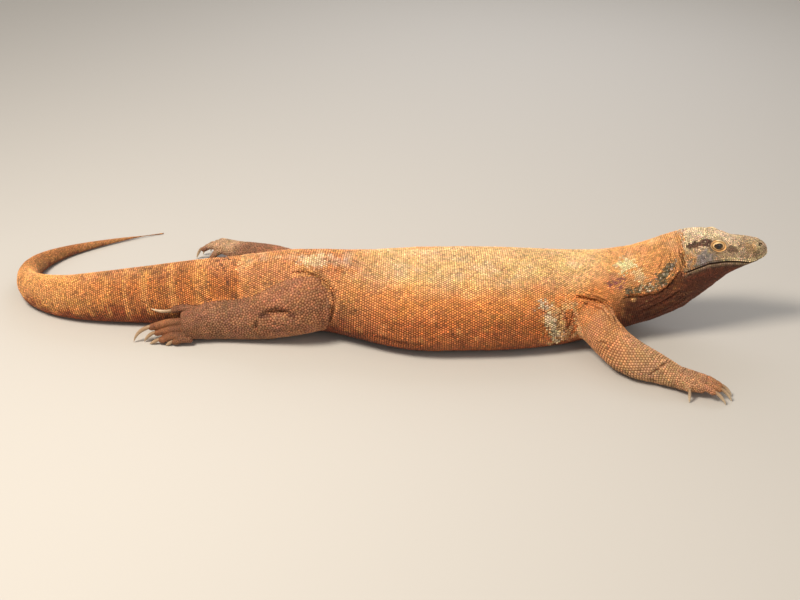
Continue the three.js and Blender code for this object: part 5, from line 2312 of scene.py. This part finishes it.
    def fill(self) -> None:
        """Sets scales side by side wherever the rings leave the skin bare."""
        laid = Scales.joined(self.groups)
        points, tri, pitch = self.scattered(laid)
        chosen = spaced(points, pitch, laid)
        pitch = pitch[chosen]
        places, tri = self.relax(points[chosen], pitch, tri[chosen], laid)
        parts, legs = self.labels(tri)
        paw = parts == Part.PAW
        height = np.array(CLOSE_HEIGHT)[parts] * MM
        height[paw] *= (pitch / (CLOSE_PITCH[Part.PAW] * MM))[paw]
        wide = pitch * np.array(CLOSE_WIDTH)[parts]
        sizes = np.column_stack([wide, wide, height])
        self.add(Scales(places, sizes, self.lie(places, legs), None, parts, legs), tri,
                 ~self.closed(places) & ~self.folded(places))

    def relax(self, places: Array, pitch: Array, tri: Array, laid: Scales) -> tuple[Array, Array]:
        """Evens out the close-set scales by letting neighbours push one another apart.

        Args:
            places: Their roots.
            pitch: How far apart they should stand.
            tri: The skin triangle under each.
            laid: The scales already in rings, which stay.

        Returns:
            The moved roots and the triangles under them.
        """
        for _ in range(6):
            tree = point_tree(np.vstack([places, laid.places]))
            push = np.zeros_like(places)
            for k, p in enumerate(places):
                reach = pitch[k] * 1.25
                for co, other, d in tree.find_range(Vector(p), reach):
                    if other != k and d > 1e-7:
                        push[k] += (p - np.array(co)) / d * (reach - d)
            places, tri, _ = self.skin.surface.nearest(places + push * 0.22)
        return places, tri

    def lie(self, places: Array, legs: Array) -> Array:
        """The way scales point: towards the tail, or down the leg.

        Args:
            places: Their roots.
            legs: Their leg numbers, or -1.

        Returns:
            Directions as rows.
        """
        lies = np.empty_like(places)
        for leg, axis in enumerate((BODY, *LEGS.values()), -1):
            on = legs == leg
            lies[on] = axis.at(np.clip(axis.locate(places[on])[0], 0, axis.length))[1]
        return lies

    # -- pieces ------------------------------------------------------------------

    def root_map(self, scales: Scales, leg: int) -> Array:
        """Each scale's place on an unwrap of its piece: length along, and turn round, the body.

        Args:
            scales: The piece's scales.
            leg: The leg they are on, or -1.

        Returns:
            Rows of u and v from 0 to 1.
        """
        axis = (BODY, *LEGS.values())[leg + 1]
        if (scales.parts == Part.PAW).all():  # the paw's top on one half of the map, its sole on the other
            (along,), (left,), _ = axis.basis(axis.length)
            u, v = scales.places @ along, scales.places @ left
            v = (v - v.min()) / np.ptp(v) * 0.48
            v = np.where(scales.normals[:, 2] > 0, v, v + 0.5)
        else:
            u, turn = axis.locate(scales.places)
            v = turn / (2 * math.pi) + 0.5
        u = (u - u.min()) / np.ptp(u)
        return np.column_stack([u, v]) * 0.985 + 0.004

    def tints(self, scales: Scales) -> Array:
        """Each scale's colour: the markings, with scales a little lighter and darker than their neighbours.

        Args:
            scales: All the coat's scales.

        Returns:
            Linear colours as rows.
        """
        colours = self.markings.paint(scales.places, scales.parts, scales.legs)
        vary = self.random.normal(0, 1, (len(colours), 3))
        face, limb = (scales.parts == Part.HEAD)[:, None], (scales.legs >= 0)[:, None]
        shade = np.where(face, 0.22, np.where(limb, 0.12, 0.17)) * vary[:, :1]
        colours *= np.exp(shade + np.where(face, 0.06, 0.045) * vary)
        often = np.where(np.isin(scales.parts, (Part.TAIL_BASE, Part.PELVIS)), 0.09, 0.012)
        dark = (self.random.random(len(colours)) < often) & (scales.parts != Part.HEAD)
        colours[dark] *= 0.55
        return colours

    @staticmethod
    def plan() -> list[tuple[str, tuple[Part, ...], int, ScaleForm, str]]:
        """Lists the coat's pieces.

        Returns:
            Each piece's name, parts, leg, kind of scale and slot.
        """
        rows = [
            ("scales_head", (Part.HEAD,), -1, ScaleForm.PLATE, "head_skin"),
            ("scales_throat", (Part.THROAT,), -1, ScaleForm.GRANULE, "throat_skin"),
        ]
        rows += [(f"scales_{part.name.lower()}", (part,), -1, ScaleForm.PEBBLE, "body_skin")
                 for part in (Part.NECK, Part.CHEST, Part.BELLY, Part.PELVIS)]
        rows += [(f"scales_{part.name.lower()}", (part,), -1, ScaleForm.RING, "tail_skin")
                 for part in (Part.TAIL_BASE, Part.TAIL_END)]
        long_bones = (Part.UPPER_LEG, Part.LOWER_LEG)
        for leg, name in enumerate(LEGS):
            paw = name.replace("fore", "hand").replace("hind", "foot")
            rows += [(f"scales_{name}_leg", long_bones, leg, ScaleForm.PEBBLE, "leg_skin"),
                     (f"scales_{paw}", (Part.PAW,), leg, ScaleForm.GRANULE, "leg_skin")]
        return rows

    def pieces(self, finish: Material) -> None:
        """Turns the laid scales into the coat's pieces.

        Args:
            finish: The scales' material.
        """
        scales, tree = Scales.joined(self.groups), CoatTree()
        # scales that rest on the floor lie flatter
        low = ramp(scales.places[:, 2], 12 * MM, 3 * MM) * ramp(scales.normals[:, 2], 0.1, -0.6)
        most = np.where(low > 0.2, 0.95 * FLOOR_GAP / (1 + tree.uneven), 1)
        scales.sizes[:, 2] = np.minimum(scales.sizes[:, 2], most)
        scales.places -= scales.normals * self.sink * MM
        tints = self.tints(scales)
        forms = {form: form.sample() for form in ScaleForm}
        for name, parts, leg, form, slot in self.plan():
            chosen = np.isin(scales.parts, parts) & (scales.legs == leg)
            some = scales.kept(chosen)
            attach(tree.grow(name, some, self.root_map(some, leg), tints[chosen], forms[form], finish))
        for obj in forms.values():
            bpy.data.objects.remove(obj)

    def build(self, finish: Material) -> None:
        """Lays every scale and makes the coat's pieces.

        Args:
            finish: The scales' material.
        """
        solids, leg_of = self.skin.solids, self.skin.solid_labels[:, 1]
        for leg, axis in enumerate((BODY, LEGS["right_fore"], LEGS["left_fore"]), -1):
            faces = solids.tris[leg_of == leg].tolist()
            tree = BVHTree.FromPolygons(solids.points.tolist(), faces, all_triangles=True)
            plan, span = (BODY_PLAN, (Part.NECK, Part.TAIL_END)) if leg < 0 else (
                FORE_PLAN, (Part.UPPER_LEG, Part.LOWER_LEG))
            self.rings(axis, plan, leg, span, tree)
        self.face_rows()
        self.fill()
        self.pieces(finish)


# ---------------------------------------------------------------- eyes and claws


def outwards(obj: Object) -> None:
    """Turns every face of a closed mesh to point outwards.

    Args:
        obj: The object whose mesh it is.
    """
    bm = bmesh.new()
    bm.from_mesh(obj.data)
    bmesh.ops.recalc_face_normals(bm, faces=bm.faces)
    bm.to_mesh(obj.data)
    bm.free()


@dataclass(frozen=True)
class Eyeball:
    """One eye as a closed ball with a slightly bulging cornea."""

    socket: EyeSocket
    rings: int = 36  # rings of faces from the pupil to the back
    spokes: int = 40  # faces round each ring
    bulge: float = 0.35  # how far the cornea stands out, in millimetres
    bulge_width: float = 0.6  # how far it spreads, in radians from the pupil

    def build(self, material: Material) -> None:
        """Makes the ball and dresses it.

        Args:
            material: The eye's finish.
        """
        ball, side_name = self.socket, "right" if self.socket.side < 0 else "left"
        gaze = unit(np.array([0.10, ball.side, 0.02]))
        side = unit(np.cross(gaze, (0, 0, 1)))
        up = np.cross(side, gaze)
        verts, away, faces = [ball.centre + gaze * (ball.radius + self.bulge) * MM], [0.0], []
        for k in range(1, self.rings):
            polar = math.pi * k / self.rings
            radius = (ball.radius + self.bulge * math.exp(-((polar / self.bulge_width) ** 2))) * MM
            for m in range(self.spokes):
                turn = 2 * math.pi * m / self.spokes
                round_it = side * math.cos(turn) + up * math.sin(turn)
                verts.append(ball.centre + (gaze * math.cos(polar) + round_it * math.sin(polar)) * radius)
                away.append(polar * ball.radius)
        verts.append(ball.centre - gaze * ball.radius * MM)
        away.append(math.pi * ball.radius)
        last = 1 + (self.rings - 2) * self.spokes
        for m in range(self.spokes):
            n = (m + 1) % self.spokes
            faces.append([0, 1 + m, 1 + n])
            for a in range(1, last, self.spokes):
                b = a + self.spokes
                faces.append([a + m, b + m, b + n, a + n])
            faces.append([last + m, len(verts) - 1, last + n])
        obj = mesh_object(f"eyeball_{side_name}", np.array(verts), faces)
        outwards(obj)
        put_values(obj.data, "from_pupil", np.array(away))
        obj.data.materials.append(material)
        attach(obj, [f"eye_{side_name}"])


@dataclass(frozen=True)
class Claws:
    """The twenty claws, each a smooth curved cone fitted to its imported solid."""

    rings: int = 26  # rings of faces along a claw
    spokes: int = 16  # faces round it
    flatness: float = 0.86  # how much narrower a claw is than it is deep
    swell: float = 1.2  # how much thicker than the solid's flat faces
    floor: float = 0.2 * MM  # the lowest that a claw reaches

    def samples(self, name: str) -> Array:
        """Places spread over one solid.

        Args:
            name: The solid's name.

        Returns:
            The places as rows.
        """
        points, tris = merged_copy(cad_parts[name], 0.2 * MM)
        for _ in range(3):  # each turn puts a place in the middle of every triangle
            middles = np.arange(len(tris)) + len(points)
            points = np.vstack([points, points[tris].mean(1)])
            tris = np.vstack([np.column_stack([tris[:, [k, (k + 1) % 3]], middles]) for k in range(3)])
        return points

    def fitted(self, name: str) -> tuple[Array, list[list[int]], Array]:
        """Fits a curved cone to one solid.

        Args:
            name: The solid's name.

        Returns:
            The cone's corners, its faces, and how far towards the tip each corner is.
        """
        points = self.samples(name)
        side, limb, _, _ = name.split("_")
        axis = LEGS[f"{side}_{'fore' if limb == 'hand' else 'hind'}"]
        out = (points - axis.points[-1]) @ axis.at(axis.length)[1][0]
        tip = points[np.argmax(np.linalg.norm(points - points[np.argmin(out)], axis=1))]
        base = points[np.argsort(np.linalg.norm(points - tip, axis=1))[-40:]].mean(0)
        t = (points - base) @ (tip - base) / ((tip - base) @ (tip - base))
        path = [np.polyfit(t, points[:, k], 2) for k in range(3)]
        off = np.linalg.norm(points - np.stack([np.polyval(p, t) for p in path], 1), axis=1)
        share = np.linspace(-0.04, 1.0, self.rings)
        girth = np.maximum(np.polyval(np.polyfit(t, off, 2), share), 0.4 * MM)
        line = np.stack([np.polyval(p, share) for p in path], 1)
        along = unit(np.gradient(line, axis=0))
        across = unit(np.cross(along, (0.0, 0.0, 1.0)))[:, None]
        deep = np.cross(across[:, 0], along)[:, None]
        radius = self.swell * girth * np.sqrt(np.clip((1.02 - share) / 0.14, 0, 1))
        turn = (np.arange(self.spokes) * 2 * math.pi / self.spokes)[None, :, None]
        rims = across * np.cos(turn) * self.flatness + deep * np.sin(turn)
        rims = line[:, None] + rims * radius[:, None, None]
        verts = np.vstack([rims.reshape(-1, 3), line[0], line[-1] + along[-1] * 0.3 * MM])
        spokes = [(m, (m + 1) % self.spokes) for m in range(self.spokes)]
        last = (self.rings - 1) * self.spokes
        faces = [[a + m, a + self.spokes + m, a + self.spokes + n, a + n]
                 for a in range(0, last, self.spokes) for m, n in spokes]
        for m, n in spokes:
            faces += [[len(verts) - 2, m, n], [last + n, last + m, len(verts) - 1]]
        return verts, faces, np.append(np.repeat(np.clip(share, 0, 1), self.spokes), [0.0, 1.0])

    def build(self, material: Material) -> None:
        """Makes one piece for each claw.

        Args:
            material: The horn.
        """
        for name in sorted(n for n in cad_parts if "claw" in n):
            verts, faces, reach = self.fitted(name)
            verts[:, 2] = np.maximum(verts[:, 2], self.floor)
            obj = mesh_object(f"horn_{name}", verts, faces)
            outwards(obj)
            dirty = name.startswith("right_foot") and "5" not in name
            put_values(obj.data, "reach", reach**1.2 * (0.4 if dirty else 1.0))
            obj.data.shade_smooth()
            obj.data.materials.append(material)
            attach(obj, [name])


# ---------------------------------------------------------------- studio


@dataclass(frozen=True)
class SoftLight:
    """A square studio lamp with a diffuser."""

    name: str
    place: Point  # in metres
    aim: Point  # the place that it points at
    size: float  # its side in metres
    power: float  # in watts
    colour: str = "#ffffff"

    def build(self) -> None:
        """Adds the lamp to the scene."""
        lamp = bpy.data.lights.new(self.name, "AREA")
        lamp.size, lamp.energy, lamp.color = self.size, self.power, linear(self.colour)[:3]
        obj = linked(self.name, lamp)
        obj.location = self.place
        obj.rotation_euler = (Vector(self.aim) - Vector(self.place)).to_track_quat("-Z", "Y").to_euler()


@dataclass(frozen=True)
class Studio:
    """Floor, lamps, surrounding light and camera."""

    camera: Point = (0.06, -2.73, 1.67)  # in metres
    pitch: float = 31.0  # how far it looks down in degrees
    lens: float = 56.25  # in millimetres
    sensor: float = 36.0  # its width in millimetres
    floor: float = 9.0  # from the middle to each edge in metres
    surround: float = 0.43  # strength of the even light from all round
    sky: str = "#f4f1ec"
    lamps: tuple[SoftLight, ...] = (
        SoftLight("key", (-1.3, -1.1, 2.9), (0.0, -0.1, 0.1), 1.0, 122.0, "#fff4e4"),
        SoftLight("fill", (2.2, -2.0, 1.5), (0.2, -0.1, 0.1), 2.2, 14.0, "#fff6ec"),
        SoftLight("back", (0.6, 2.2, 2.0), (0.0, 0.0, 0.1), 2.0, 24.0, "#f2f5ff"),
    )

    def build(self) -> None:
        """Sets up the studio."""
        corners = [(x * self.floor, y * self.floor, 0.0) for x, y in ((-1, -1), (1, -1), (1, 1), (-1, 1))]
        floor = mesh_object("floor", np.array(corners), [[0, 1, 2, 3]])
        floor.data.materials.append(FloorFinish().material())
        for lamp in self.lamps:
            lamp.build()
        scene, world = bpy.context.scene, bpy.data.worlds.new("studio")
        world.use_nodes = True
        back = world.node_tree.nodes["Background"]
        back.inputs["Color"].default_value = linear(self.sky)
        back.inputs["Strength"].default_value = self.surround
        scene.world = world
        view = bpy.data.cameras.new("camera")
        view.lens, view.sensor_width = self.lens, self.sensor
        view.clip_start, view.clip_end = 0.05, 60.0
        scene.camera = linked("camera", view)
        scene.camera.location = self.camera
        scene.camera.rotation_euler = (math.radians(90 - self.pitch), 0, 0)
        scene.view_settings.view_transform = "Standard"


def main() -> None:
    """Builds the animal piece by piece, then the studio."""
    logging.basicConfig(level=logging.INFO, format="%(relativeCreated)7d ms  %(message)s", stream=sys.stdout)
    skin = Skin()
    skin.build()
    markings = Markings(skin.folds)
    skin.dress(markings, HideFinish().material())
    Coat(skin, markings).build(ScaleFinish().material())
    eye = EyeFinish().material()
    for side in (-1, 1):
        Eyeball(EyeSocket(side)).build(eye)
    Claws().build(HornFinish().material())
    Studio().build()


if __name__ == "__main__":
    main()
